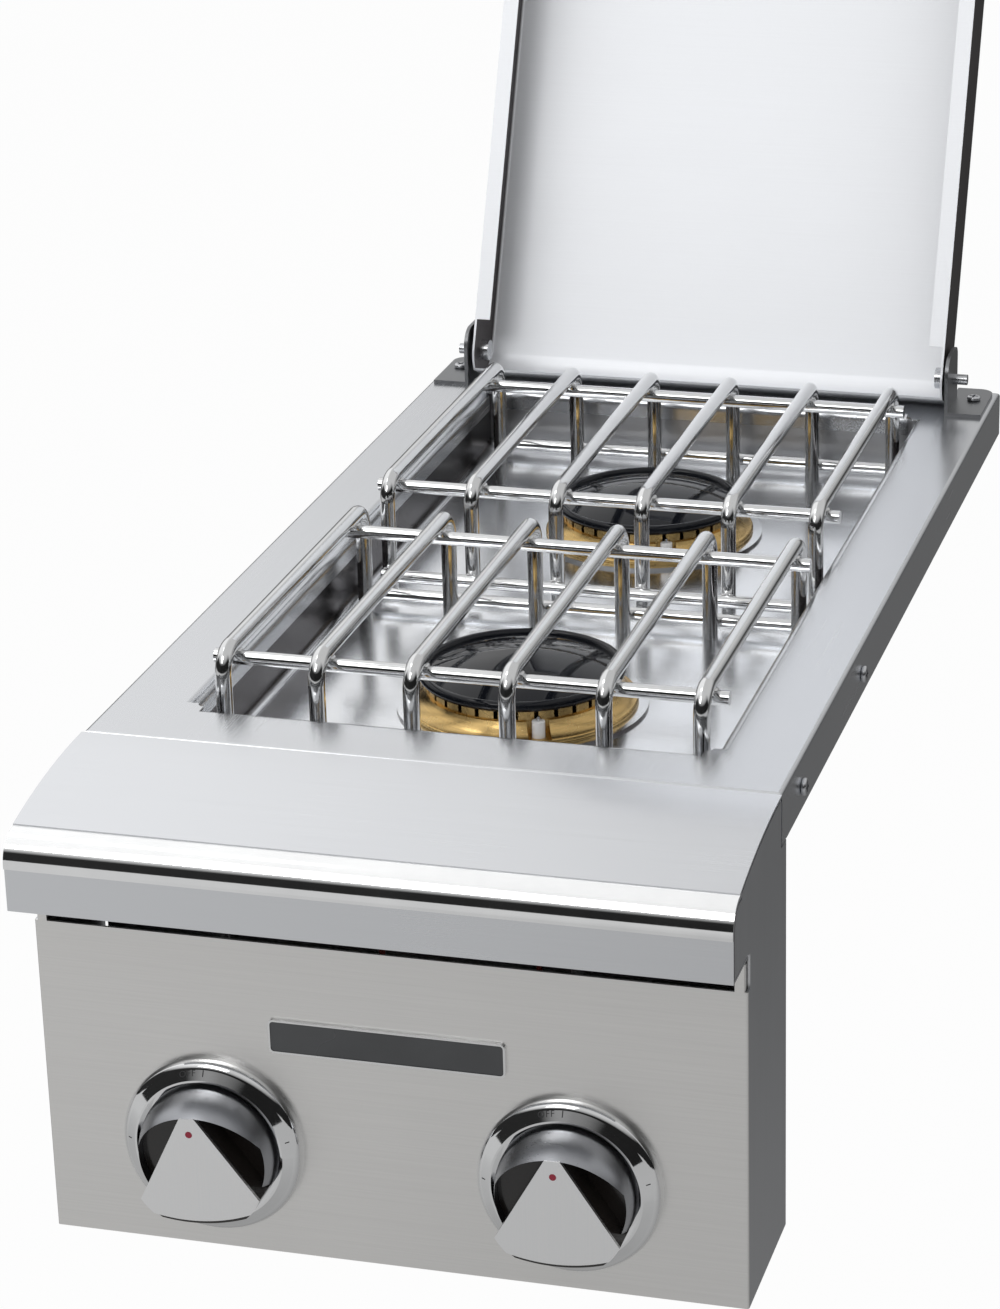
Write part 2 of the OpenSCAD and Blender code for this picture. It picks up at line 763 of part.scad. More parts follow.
// Manifold: a tube with a closed left end that feeds both valves
module gas_manifold() {
    color("silver") difference() {
        rod_x(-manifold_half, manifold_half, manifold_y, axis_z, manifold_r);
        rod_x(-manifold_half + 4, manifold_half + 1, manifold_y, axis_z, manifold_r - 2);
        for (sx = [-1, 1])
            rod_y(manifold_y - manifold_r - 1, manifold_y, sx * knob_x, axis_z, stub_r + fit);
    }
}

// Inlet: an elbow on the manifold's right end with a male flare end behind the rear wall
module gas_inlet_fitting() {
    x1 = manifold_half + 14;
    flare_r = 7.94;
    color("peru") difference() {
        union() {
            translate([x1, manifold_y, axis_z]) sphere(9.5);
            rod_x(manifold_half + gap, x1, manifold_y, axis_z, 9.5);
            rod_x(manifold_half - 10, x1, manifold_y, axis_z, manifold_r - 2 - fit);
            rod_y(manifold_y, box_back + 4, x1, axis_z, 9.5);
            rod_y(manifold_y, box_back + 20, x1, axis_z, flare_r);
        }
        rod_y(manifold_y, box_back + 21, x1, axis_z, 4.5);
        rod_x(manifold_half - 11, x1, manifold_y, axis_z, 4.5);
    }
}

// Supply tube from a valve's outlet up, back through the rear wall and in to a burner cup
module supply_run(sx, y_end, r) {
    x = sx * knob_x;
    z0 = axis_z + outlet_h - 6;
    y_in = y_end - tube_bend;
    rod_z(z0, tube_z - tube_bend, x, outlet_y, r);
    translate([x, outlet_y, tube_z - tube_bend]) rotate([0, -90, 0]) elbow(r, tube_bend);
    rod_y(outlet_y + tube_bend, y_in, x, tube_z, r);
    translate([x, y_in, tube_z]) rotate([sx > 0 ? 0 : 180, 0, 90]) elbow(r, tube_bend);
    rod_x(min(sx * boss_x, x - sx * tube_bend), max(sx * boss_x, x - sx * tube_bend), y_end, tube_z, r);
}
module supply_tube(sx, y_end) {
    color("silver") difference() {
        supply_run(sx, y_end, tube_r);
        supply_run(sx, y_end, tube_bore);
    }
}
module front_gas_tube() { supply_tube(-1, burner_ys[0]); }
module rear_gas_tube() { supply_tube(1, burner_ys[1]); }

// Burner cup below the well: clamps the land, holds the jet and takes the supply tube
module burner_cup(sx, y) {
    color("darkgray") difference() {
        union() {
            rod_z(cup_top - cup_wall, cup_top, 0, y, cup_flange_r);
            rod_z(cup_z, cup_top, 0, y, cup_r);
            rod_x(min(0, sx * (boss_x + 8)), max(0, sx * (boss_x + 8)), y, tube_z, 6.5);
        }
        difference() {
            rod_z(cup_z + cup_wall, cup_top + 1, 0, y, cup_r - cup_wall);
            rod_z(cup_z, jet_top - 6, 0, y, 8);
            rod_x(min(0, sx * cup_r), max(0, sx * cup_r), y, tube_z, 6.5);
        }
        rod_z(tube_z, jet_top, 0, y, 2);
        rod_x(min(0, sx * (boss_x + 9)), max(0, sx * (boss_x + 9)), y, tube_z, 2);
        rod_x(min(sx * boss_x, sx * (boss_x + 9)), max(sx * boss_x, sx * (boss_x + 9)), y, tube_z,
            tube_r + fit);
        rod_z(cup_top - cup_wall - 1, cup_top + 1, ign_x, y + ign_y, ceramic_r + gap);
        for (a = [30, 150, 270])
            rod_z(cup_top - cup_wall - 1, cup_top + 1, screw_circle * cos(a), y + screw_circle * sin(a), 2);
    }
}
module front_burner_cup() { burner_cup(-1, burner_ys[0]); }
module rear_burner_cup() { burner_cup(1, burner_ys[1]); }

// Jet: a small brass orifice on the cup's post
module jet(y) {
    color("gold") difference() {
        union() {
            rod_z(jet_top - 6, jet_top - 2, 0, y, jet_r);
            rod_z(jet_top - 2, jet_top, 0, y, 3);
        }
        rod_z(jet_top - 7, jet_top - 1, 0, y, 1.6);
        rod_z(jet_top - 2, jet_top + 1, 0, y, 0.5);
    }
}
module front_jet() { jet(burner_ys[0]); }
module rear_jet() { jet(burner_ys[1]); }

// Burner head: turned brass with a sloping flange, a ported band and a mixing throat
module burner_head(y) {
    band_z = 7.5;
    color("goldenrod") translate([0, y, land_z]) difference() {
        rotate_extrude() difference() {
            union() {
                square([head_r - 0.8, 2.2]);
                translate([head_r - 0.8, 0.8]) circle(0.8);
                translate([head_r - 0.8 - eps, 0.8]) square([0.8 + eps, 0.7]);
                translate([head_r - 0.8, 1.5]) circle(0.8);
                square([band_r, head_h]);
                difference() {
                    square([head_r - 0.8, 9]);
                    translate([head_r + 2.5, 14.6]) circle(12.4);
                }
                translate([0, -9]) square([13, 10]);
                translate([spigot_r - 5, -4]) square([5, 5]);
            }
            translate([-1, -10]) square([11, 30]);
            translate([14, 3.5]) square([band_r - 5 - 14, 20]);
            translate([9, head_h - 6]) square([6, 20]);
        }
        for (i = [0 : port_n - 1])
            rotate([0, 0, (i + 0.5) * 360 / port_n])
                box([band_r - 6, -port_w / 2, band_z + 2], [band_r + 1, port_w / 2, head_h + 1]);
        rotate([0, 0, atan2(ign_y, ign_x)])
            box([band_r + 0.2, -5.5, -1], [head_r + 1, 5.5, head_h + 1]);
    }
}
module front_burner_head() { burner_head(burner_ys[0]); }
module rear_burner_head() { burner_head(burner_ys[1]); }

// Cap: a domed enamel disc that closes the head's ports
module burner_cap(y) {
    crown_r = 135;
    color("black") translate([0, y, land_z + head_h]) rotate_extrude() {
        intersection() {
            translate([0, cap_h - crown_r]) circle(crown_r, $fn = 360);
            square([cap_r - 1.5, cap_h + 1]);
        }
        difference() {
            translate([cap_r - 2.5, 2.5]) circle(2.5);
            translate([-1, -5]) square([cap_r + 10, 5]);
        }
        difference() {
            translate([0, -2.5]) square([band_r - 5.4, 3]);
            translate([-1, -3]) square([band_r - 9, 4]);
        }
    }
}
module front_burner_cap() { burner_cap(burner_ys[0]); }
module rear_burner_cap() { burner_cap(burner_ys[1]); }

// Igniter: a ceramic rod with a steel tip that faces the port band
module igniter(y) {
    color("white") difference() {
        rod_z(ceramic_bottom, ceramic_top, ign_x, y + ign_y, ceramic_r);
        rod_z(ceramic_top - 4, ceramic_top + 1, ign_x, y + ign_y, tip_r);
        rod_z(ceramic_bottom - 1, ceramic_bottom + 4, ign_x, y + ign_y, lead_r);
    }
}
module igniter_tip(y) {
    color("silver") rod_z(ceramic_top - 4, ceramic_top + 2.5, ign_x, y + ign_y, tip_r - 0.01);
}
module front_igniter() { igniter(burner_ys[0]); }
module rear_igniter() { igniter(burner_ys[1]); }
module front_igniter_tip() { igniter_tip(burner_ys[0]); }
module rear_igniter_tip() { igniter_tip(burner_ys[1]); }

// Spark lead: from the module up, back along the burner box's floor and up into the ceramic
module lead_run(x, y_end) {
    y0 = (module_y[0] + module_y[1]) / 2;
    z0 = box_z + 2 * sheet + module_h;
    yi = y_end + ign_y;
    side = ign_x > x ? 1 : -1;
    r = lead_r - fit;
    rod_z(z0 - 4, lead_z - lead_bend, x, y0, r);
    translate([x, y0, lead_z - lead_bend]) rotate([0, -90, 0]) elbow(r, lead_bend);
    rod_y(y0 + lead_bend, yi - lead_bend, x, lead_z, r);
    translate([x, yi - lead_bend, lead_z]) rotate([side > 0 ? 180 : 0, 0, 90]) elbow(r, lead_bend);
    rod_x(min(x + side * lead_bend, ign_x - side * lead_bend),
        max(x + side * lead_bend, ign_x - side * lead_bend), yi, lead_z, r);
    translate([ign_x - side * lead_bend, yi, lead_z])
        rotate([90, 0, 0]) mirror([side > 0 ? 0 : 1, 0, 0]) elbow(r, lead_bend);
    rod_z(lead_z + lead_bend, ceramic_bottom + 4, ign_x, yi, r);
}
module front_igniter_lead() { color("maroon") lead_run(front_lead_x, burner_ys[0]); }
module rear_igniter_lead() { color("maroon") lead_run(rear_lead_x, burner_ys[1]); }

// Spark module on the control box's bottom
module spark_module() {
    z0 = box_z + 2 * sheet;
    y0 = (module_y[0] + module_y[1]) / 2;
    x0 = (front_lead_x + rear_lead_x - module_w) / 2 - 8;
    color("black") difference() {
        union() {
            box([x0, module_y[0], z0], [x0 + module_w + 16, module_y[1], z0 + module_h - 6]);
            for (x = [front_lead_x, rear_lead_x])
                rod_z(z0, z0 + module_h, x, y0, 5);
        }
        for (x = [front_lead_x, rear_lead_x])
            rod_z(z0 + module_h - 5, z0 + module_h + 1, x, y0, lead_r);
    }
}

// Grate: bent rods, welded on two upper and two lower cross rods
module bent_rods(y0) {
    y1 = y0 + grate_l;
    color("gainsboro") for (i = [0 : rod_n - 1]) {
        x = rod_x0 + i * rod_pitch;
        rod_z(floor_z, rod_z0 - rod_bend, x, y0, rod_r);
        rod_z(floor_z, rod_z0 - rod_bend, x, y1, rod_r);
        rod_y(y0 + rod_bend, y1 - rod_bend, x, rod_z0, rod_r);
        translate([x, y0, rod_z0 - rod_bend]) rotate([0, -90, 0]) elbow(rod_r, rod_bend);
        translate([x, y1 - rod_bend, rod_z0]) rotate([-90, 0, 90]) elbow(rod_r, rod_bend);
    }
}
module cross_rods(y0) {
    y1 = y0 + grate_l;
    reach = rod_r + cross_r;
    color("gainsboro") {
        for (y = [y0 + cross_inset, y1 - cross_inset])
            rod_x(rod_x0 - cross_stub, -rod_x0 + cross_stub, y, rod_z0 - reach, cross_r);
        for (y = [y0 - reach, y1 + reach])
            rod_x(rod_x0 - foot_stub, -rod_x0 + foot_stub, y, foot_z, cross_r);
    }
}
module front_grate() { bent_rods(grate_ys[0]); }
module rear_grate() { bent_rods(grate_ys[1]); }
module front_grate_cross_rods() { cross_rods(grate_ys[0]); }
module rear_grate_cross_rods() { cross_rods(grate_ys[1]); }

// Lid, drawn closed on the deck and then turned open about its pins
module at_open() {
    translate([0, pin_y, pin_z]) rotate([-lid_open, 0, 0]) translate([0, -pin_y, -pin_z]) children();
}
module lid_closed() {
    difference() {
        domed_block(lid_half, lid_y, lid_y1, lid_z0, lid_z1, lid_edge_r, lid_edge_r, lid_rear_r);
        domed_block(lid_half - sheet, lid_y + sheet, lid_y1 - sheet, lid_z0 - 1, lid_z1 - sheet,
            lid_edge_r - sheet, lid_edge_r - sheet, lid_rear_r - sheet);
        rod_x(-lid_half - 1, lid_half + 1, pin_y, pin_z, pin_r + fit);
        difference() {
            box([-lid_half - 1, pin_y, lid_z0 - 1], [lid_half + 1, lid_y1 + 1, pin_z]);
            rod_x(-lid_half - 2, lid_half + 2, pin_y, pin_z, pin_h - gap);
        }
    }
    for (sx = [-1, 1])
        box([min(sx * (lid_half - eps), sx * (lid_half - hem_w)), lid_y + sheet - eps, lid_z0],
            [max(sx * (lid_half - eps), sx * (lid_half - hem_w)), pin_y - 16, lid_z0 + sheet]);
    box([-lid_half + hem_w - eps, lid_y + eps, lid_z0],
        [lid_half - hem_w + eps, lid_y + hem_w, lid_z0 + sheet]);
}
module lid() {
    color("whitesmoke") at_open() lid_closed();
}

// Lid pin: head inside the lid, collar in the hinge gap and a plain end through the bracket
module lid_pin() {
    color("silver") {
        rod_x(lid_half - sheet - 4, bracket_x + bracket_t + 8, pin_y, pin_z, pin_r);
        rod_x(lid_half - sheet - 5, lid_half - sheet, pin_y, pin_z, 6);
        rod_x(lid_half, bracket_x - 0.2, pin_y, pin_z, 5);
    }
}
module left_lid_pin() { mirror([1, 0, 0]) lid_pin(); }
module right_lid_pin() { lid_pin(); }

// Hinge bracket: a foot on the deck and an upright plate with the pin's bore
module hinge_bracket() {
    foot_r = 8;
    x1 = bracket_x + bracket_w;
    y1 = bracket_y0 + bracket_l;
    color("gray") difference() {
        union() {
            translate([bracket_x, 0, 0]) rotate([90, 0, 90]) linear_extrude(bracket_t)
                round_top(bracket_y0, pin_y + bracket_back, deck_top, deck_top + bracket_h,
                    bracket_front_r, bracket_rear_r);
            translate([0, 0, deck_top]) linear_extrude(bracket_t) {
                translate([bracket_x, bracket_y0]) square([bracket_w - foot_r, bracket_l]);
                translate([bracket_x, bracket_y0]) square([bracket_w, bracket_l - foot_r]);
                translate([x1 - foot_r, y1 - foot_r]) circle(foot_r);
            }
        }
        rod_x(bracket_x - 1, bracket_x + bracket_t + 1, pin_y, pin_z, pin_r + fit);
        rod_z(deck_top - 1, deck_top + bracket_t + 1, hinge_screw_x, hinge_screw_y, 2.1);
    }
}
module left_hinge_bracket() { mirror([1, 0, 0]) hinge_bracket(); }
module right_hinge_bracket() { hinge_bracket(); }

// A pan head screw along -Z with its seat at the origin
module screw(r, len, head_r, head_h) {
    translate([0, 0, -len]) cylinder(h = len + eps, r = r);
    intersection() {
        cylinder(h = head_h, r = head_r);
        translate([0, 0, head_h - 1.6 * head_r]) sphere(1.6 * head_r);
    }
}
module hinge_screws() {
    color("silver") for (sx = [-1, 1])
        translate([sx * hinge_screw_x, hinge_screw_y, deck_top + bracket_t]) screw(2, 8, 4, 2.4);
}
module side_screws() {
    color("silver") for (sx = [-1, 1], y = side_screw_y)
        translate([sx * half_w, y, side_screw_z]) rotate([0, sx * 90, 0]) screw(2, 6, 4.2, 2.6);
}
module valve_screws() {
    color("silver") for (sx = [-1, 1], dx = [-1, 1])
        translate([sx * knob_x + dx * valve_screw_x, panel_face - bezel_plate, axis_z])
            rotate([90, 0, 0]) screw(valve_screw_r, 7, 3.4, 1.8);
}
module burner_cup_screws() {
    color("silver") for (y = burner_ys, a = [30, 150, 270])
        translate([screw_circle * cos(a), y + screw_circle * sin(a), cup_top - cup_wall])
            rotate([180, 0, 0]) screw(2 - fit, cup_wall, 3.6, 2);
}
module box_screws() {
    color("silver") for (sx = [-1, 1]) {
        translate([sx * front_screw_x, front_screw_y, box_z]) rotate([180, 0, 0]) screw(2, 5, 3.6, 2);
        translate([sx * rear_screw_x, rear_screw_y, box_z + 3 * sheet]) screw(2, 2, 3.6, 2);
    }
}

top_deck();
well_pan();
burner_box();
front_hood();
bullnose_trim();
left_side_panel();
right_side_panel();
control_panel();
box_bottom();
rear_panel();
left_bezel();
right_bezel();
left_knob_shell();
right_knob_shell();
left_knob_core();
right_knob_core();
left_knob_face();
right_knob_face();
left_knob_dot();
right_knob_dot();
left_valve_stem();
right_valve_stem();
left_stem_washer();
right_stem_washer();
left_valve();
right_valve();
gas_manifold();
gas_inlet_fitting();
front_gas_tube();
rear_gas_tube();
front_jet();
rear_jet();
front_burner_cup();
rear_burner_cup();
front_burner_head();
rear_burner_head();
front_burner_cap();
rear_burner_cap();
front_igniter();
rear_igniter();
front_igniter_tip();
rear_igniter_tip();
front_igniter_lead();
rear_igniter_lead();
spark_module();
front_grate();
rear_grate();
front_grate_cross_rods();
rear_grate_cross_rods();
lid();
left_lid_pin();
right_lid_pin();
left_hinge_bracket();
right_hinge_bracket();
hinge_screws();
side_screws();
valve_screws();
burner_cup_screws();
box_screws();
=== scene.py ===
"""Finishes, small parts and studio for a double side burner: a slide-in gas unit with two
brass burners, rod grates, a hinged lid and two knobs. Everything is in metres, +Z is up,
the controls face -Y and z = 0 is the counter's top."""

import math

import bpy
from mathutils import Matrix, Vector


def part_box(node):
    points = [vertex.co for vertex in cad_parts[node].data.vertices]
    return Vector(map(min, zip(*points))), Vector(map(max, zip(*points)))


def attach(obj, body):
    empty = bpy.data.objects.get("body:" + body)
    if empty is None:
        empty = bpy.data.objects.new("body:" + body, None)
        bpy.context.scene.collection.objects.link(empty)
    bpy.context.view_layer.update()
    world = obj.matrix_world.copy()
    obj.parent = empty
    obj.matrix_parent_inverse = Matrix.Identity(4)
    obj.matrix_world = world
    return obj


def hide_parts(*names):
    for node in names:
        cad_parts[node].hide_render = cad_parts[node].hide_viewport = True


bl_info = {
    "name": "Double side burner",
    "version": (1, 0, 0),
    "blender": (4, 5, 0),
    "location": "View3D > Sidebar > Side burner",
    "description": "Finishes the side burner's pieces and sets up its studio",
    "category": "Object",
}

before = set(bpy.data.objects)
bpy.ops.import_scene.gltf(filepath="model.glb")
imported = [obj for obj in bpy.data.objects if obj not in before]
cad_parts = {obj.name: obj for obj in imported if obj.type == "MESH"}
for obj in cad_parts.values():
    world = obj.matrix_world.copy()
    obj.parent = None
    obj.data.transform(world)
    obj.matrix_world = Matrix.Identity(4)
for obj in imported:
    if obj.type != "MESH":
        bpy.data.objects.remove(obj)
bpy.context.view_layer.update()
SIDES = ("left", "right")
ENDS = ("front", "rear")
MM = 0.001
QUARTER = math.pi / 2

# Sizes of the CAD solids that a node's box doesn't give
ROD_R = 4 * MM
ROD_COUNT = 6
CROSS_ROD_R = 3.5 * MM
CROSS_ROD_INSET = 16 * MM
SHEET = 1.2 * MM
HEAD_PLATE = 2.2 * MM
HEAD_NOTCH = 11 * MM
HINGE_SCREW_HEAD = 2.4 * MM
FITTING_R = 9.5 * MM
THREAD_R = 7.94 * MM

# A bezel's sloping ring: its rise over its run, and the distance of the marks on it from the
# bezel's axis and from its back
BEZEL_SLOPE = math.atan2(2.9, 4.9)
MARK_RING_R = 38.4 * MM
MARK_RING_H = 7.87 * MM


class SideBurnerSizes(bpy.types.PropertyGroup):
    """Sizes of the small details that the pieces carry"""
    brush_line: bpy.props.FloatProperty(
        name="Brush line", description="Width of the brushing lines", default=0.0007,
        min=0.0002, max=0.003, subtype="DISTANCE", unit="LENGTH")
    thread_pitch: bpy.props.FloatProperty(
        name="Thread pitch", description="Pitch of the gas inlet's thread", default=0.00141,
        subtype="DISTANCE", unit="LENGTH")
    thread_length: bpy.props.FloatProperty(
        name="Thread length", description="Length of the gas inlet's thread", default=0.012,
        subtype="DISTANCE", unit="LENGTH")
    recess_share: bpy.props.FloatProperty(
        name="Recess share", description="Reach of a screw's cross recess over its head's width",
        default=0.62, min=0.3, max=0.8)
    weld_radius: bpy.props.FloatProperty(
        name="Weld radius", description="Radius of a weld bead on the grates", default=0.0024,
        subtype="DISTANCE", unit="LENGTH")
    mark_height: bpy.props.FloatProperty(
        name="Mark height", description="Height of the letters on a bezel", default=0.0030,
        subtype="DISTANCE", unit="LENGTH")
    mark_width: bpy.props.FloatProperty(
        name="Mark width", description="Width of a tick on a bezel", default=0.0005,
        subtype="DISTANCE", unit="LENGTH")
    badge_width: bpy.props.FloatProperty(
        name="Badge width", description="Width of the bare badge plate", default=0.1106,
        subtype="DISTANCE", unit="LENGTH")
    badge_height: bpy.props.FloatProperty(
        name="Badge height", description="Height of the bare badge plate", default=0.0165,
        subtype="DISTANCE", unit="LENGTH")
    badge_place: bpy.props.FloatProperty(
        name="Badge place", description="Height of the badge plate's middle above the counter",
        default=-0.0845, subtype="DISTANCE", unit="LENGTH")


class SideBurnerColours(bpy.types.PropertyGroup):
    """Colours of the finishes"""
    steel: bpy.props.FloatVectorProperty(
        name="Steel", description="Brushed stainless steel", subtype="COLOR",
        default=(0.688, 0.70, 0.722))
    chrome: bpy.props.FloatVectorProperty(
        name="Chrome", description="Polished grates, bezels and bullnose", subtype="COLOR",
        default=(0.86, 0.865, 0.87))
    brass: bpy.props.FloatVectorProperty(
        name="Brass", description="Burner heads", subtype="COLOR",
        default=(0.66, 0.455, 0.185))
    enamel: bpy.props.FloatVectorProperty(
        name="Enamel", description="Burner caps", subtype="COLOR",
        default=(0.006, 0.007, 0.01))
    pewter: bpy.props.FloatVectorProperty(
        name="Pewter", description="Crowns of the knobs", subtype="COLOR",
        default=(0.42, 0.43, 0.455))
    dot: bpy.props.FloatVectorProperty(
        name="Dot", description="Pointer dots of the knobs", subtype="COLOR",
        default=(0.25, 0.01, 0.03))


class SideBurnerStudio(bpy.types.PropertyGroup):
    """Floor, lamps and camera"""
    floor_drop: bpy.props.FloatProperty(
        name="Floor drop", description="Distance from the counter's top down to the floor",
        default=0.9, subtype="DISTANCE", unit="LENGTH")
    floor_colour: bpy.props.FloatVectorProperty(
        name="Floor", description="Colour of the floor", subtype="COLOR",
        default=(0.80, 0.80, 0.80))
    key_power: bpy.props.FloatProperty(
        name="Key", description="Power of the soft lamp above", default=8.0, unit="POWER")
    sky: bpy.props.FloatProperty(
        name="Sky", description="Strength of the studio's light from all sides", default=0.7)
    band: bpy.props.FloatProperty(
        name="Dark band", description="Tone of the dark band that metal mirrors in front",
        default=0.02, min=0, max=1)
    right_dim: bpy.props.FloatProperty(
        name="Right side", description="Tone that metal mirrors on the right over that on the left",
        default=0.62, min=0, max=1)
    floor_near: bpy.props.FloatProperty(
        name="Near floor", description="Tone of the floor in front, as metal mirrors it",
        default=0.52, min=0, max=1)
    floor_far: bpy.props.FloatProperty(
        name="Far floor", description="Tone of the floor behind, as metal mirrors it",
        default=0.15, min=0, max=1)
    lens: bpy.props.FloatProperty(
        name="Lens", description="Focal length in mm for a 36 mm sensor", default=105.33)
    camera_place: bpy.props.FloatVectorProperty(
        name="Camera", description="Place of the camera", subtype="TRANSLATION",
        default=(0.49349, -1.50949, 0.7053))
    camera_yaw: bpy.props.FloatProperty(
        name="Yaw", description="Turn of the camera to the left of the rear direction",
        default=math.radians(15.209), subtype="ANGLE", unit="ROTATION")
    camera_pitch: bpy.props.FloatProperty(
        name="Pitch", description="Angle of the camera below the horizon",
        default=math.radians(21.652), subtype="ANGLE", unit="ROTATION")
    camera_roll: bpy.props.FloatProperty(
        name="Roll", description="Turn of the camera about its own axis",
        default=math.radians(1.033), subtype="ANGLE", unit="ROTATION")


# Tools for materials

class Nodes:
    """A node tree under construction, of a material or of the world."""

    def __init__(self, tree):
        self.nodes = tree.nodes
        self.links = tree.links

    def feed(self, socket, value):
        """Links an output to a socket, or sets a plain number, vector or colour there."""
        if isinstance(value, bpy.types.NodeSocket):
            self.links.new(value, socket)
        elif socket.type == "RGBA":
            socket.default_value = (*value, 1.0)
        else:
            socket.default_value = value

    def node(self, kind, *values, operation=None, **inputs):
        """Adds a node and feeds its first sockets in their order, and others by their name."""
        made = self.nodes.new(kind)
        if operation:
            made.operation = operation
        for socket, value in zip(made.inputs, values):
            self.feed(socket, value)
        for name, value in inputs.items():
            self.feed(made.inputs[name], value)
        return made

    def calc(self, operation, *values):
        """One step of arithmetic on numbers."""
        return self.node("ShaderNodeMath", *values, operation=operation).outputs[0]

    def weigh(self, first, second, share=0.5):
        """The mean of two values, where share is the weight of the first."""
        return self.calc("ADD", self.calc("MULTIPLY", first, share),
                         self.calc("MULTIPLY", second, 1 - share))

    def fit(self, value, low, high, new_low, new_high):
        """Maps a value from one range to another, and holds it there."""
        return self.node("ShaderNodeMapRange", value, low, high, new_low, new_high).outputs[0]

    def split(self, vector):
        """The X, Y and Z of a vector, by name."""
        return self.node("ShaderNodeSeparateXYZ", vector).outputs

    def mix(self, share, first, second):
        """A mix of two shaders, where share is the weight of the second."""
        return self.node("ShaderNodeMixShader", share, first, second).outputs[0]


class Finish(Nodes):
    """A material under construction, with its main shader and the piece's own coordinates."""

    def __init__(self, name):
        self.material = bpy.data.materials.new(name)
        self.material.use_nodes = True
        super().__init__(self.material.node_tree)
        self.shader = self.nodes["Principled BSDF"]
        coordinates = self.node("ShaderNodeTexCoord")
        self.place = coordinates.outputs["Object"]
        self.normal = coordinates.outputs["Normal"]

    def put(self, socket, value):
        """Feeds a socket of the main shader."""
        self.feed(self.shader.inputs[socket], value)

    def vector(self, operation, *values):
        """One step of arithmetic on vectors."""
        made = self.node("ShaderNodeVectorMath", *values, operation=operation)
        return made.outputs["Value" if operation == "LENGTH" else "Vector"]

    def mapped(self, scale, centre=(0, 0, 0)):
        """Coordinates about a centre, scaled by one number or by one for each axis."""
        scale = scale if isinstance(scale, tuple) else (scale, scale, scale)
        about = self.vector("SUBTRACT", self.place, centre)
        return self.node("ShaderNodeMapping", about, Scale=scale).outputs[0]

    def noise(self, vector, detail=2.0, roughness=0.5, distortion=0.0):
        """A smooth noise, whose grains are about one unit of the vector wide."""
        made = self.node("ShaderNodeTexNoise", vector, Scale=1.0, Detail=detail,
                         Roughness=roughness, Distortion=distortion)
        return made.outputs["Fac"]

    def spread(self, noise, low=0.0, high=1.0):
        """Maps the middle of a noise, where most of it lies, to a range."""
        return self.fit(noise, 0.3, 0.7, low, high)

    def blend(self, amount, first, second):
        """A mix of two colours."""
        made = self.node("ShaderNodeMix")
        made.data_type = "RGBA"
        self.feed(made.inputs["Factor"], amount)
        sockets = [socket for socket in made.inputs if socket.type == "RGBA"]
        for socket, colour in zip(sockets, (first, second)):
            self.feed(socket, colour)
        return next(socket for socket in made.outputs if socket.type == "RGBA")

    def bump(self, height, depth):
        """A surface that rises and falls by a depth in metres."""
        return self.node("ShaderNodeBump", Height=height, Distance=depth, Strength=1.0).outputs[0]


def shade(colour, factor):
    """A colour made lighter or darker by one factor."""
    return tuple(min(1.0, part * factor) for part in colour)


def brushed(name, colour, grain, roughness=0.30, depth=0.000006, contrast=0.03, painted_shade_axes=None,
            satin=None):
    """Sheet steel with fine lines along one axis, and slow changes of tone and gloss. For each
    axis that it is given with a share, the faces that look along it get painted shade: they are
    darkened by that share towards a dark brown, in patches. A pair of scatter shares gives the
    share of soft scatter low and high up on the faces that look forward: painted light, which
    makes them lighter higher up."""
    length_over_width = 90
    broad_over_fine = 9
    palest_patch = 0.94
    # Dark brown of the painted shade on walls
    painted_wall_shade = (0.058, 0.047, 0.047)
    finish = Finish(name)
    facing = finish.split(finish.normal)
    across = 1 / bpy.context.scene.side_burner_sizes.brush_line
    scale = tuple(across / length_over_width if axis == grain else across for axis in "xyz")
    broad_scale = tuple(part / broad_over_fine for part in scale)
    fine = finish.noise(finish.mapped(scale), detail=3.0, roughness=0.6)
    broad = finish.noise(finish.mapped(broad_scale))
    cloud = finish.noise(finish.mapped(5), detail=3.0, roughness=0.55, distortion=0.4)
    lines = finish.weigh(fine, broad, 0.75)
    tone = finish.fit(finish.weigh(lines, cloud), 0.36, 0.64, 0.0, 1.0)
    tint = finish.blend(tone, shade(colour, 1 - contrast), shade(colour, 1 + contrast))
    gloss = finish.calc("ADD", finish.spread(lines, roughness - 0.03, roughness + 0.03),
                        finish.spread(cloud, -0.03, 0.03))
    finish.put("Metallic", 1.0)
    # Painted shade: faces that look along each given axis are darkened towards the dark brown, in patches
    if painted_shade_axes:
        for axis, share in painted_shade_axes.items():
            side = finish.fit(finish.calc("ABSOLUTE", facing[axis]), 0.4, 0.9, 0.0, 1.0)
            patchy_painted_shade = finish.spread(cloud, palest_patch * share, share)
            tint = finish.blend(finish.calc("MULTIPLY", patchy_painted_shade, side), tint, painted_wall_shade)
        if "Y" in painted_shade_axes:
            gloss = finish.calc("ADD", gloss, finish.fit(facing["Y"], -0.8, -0.4, 0.16, 0.0))
    # Painted light: more soft scatter higher up on the forward faces makes them lighter there
    if satin:
        scatter = finish.fit(finish.split(finish.place)["Z"], 0.04, 0.3, *satin)
        front = finish.fit(facing["Y"], -0.5, -0.1, 1.0, 0.1)
        finish.put("Metallic", finish.calc("SUBTRACT", 1.0, finish.calc("MULTIPLY", scatter, front)))
    finish.put("Base Color", tint)
    finish.put("Roughness", gloss)
    finish.put("Normal", finish.bump(lines, depth))
    return finish.material


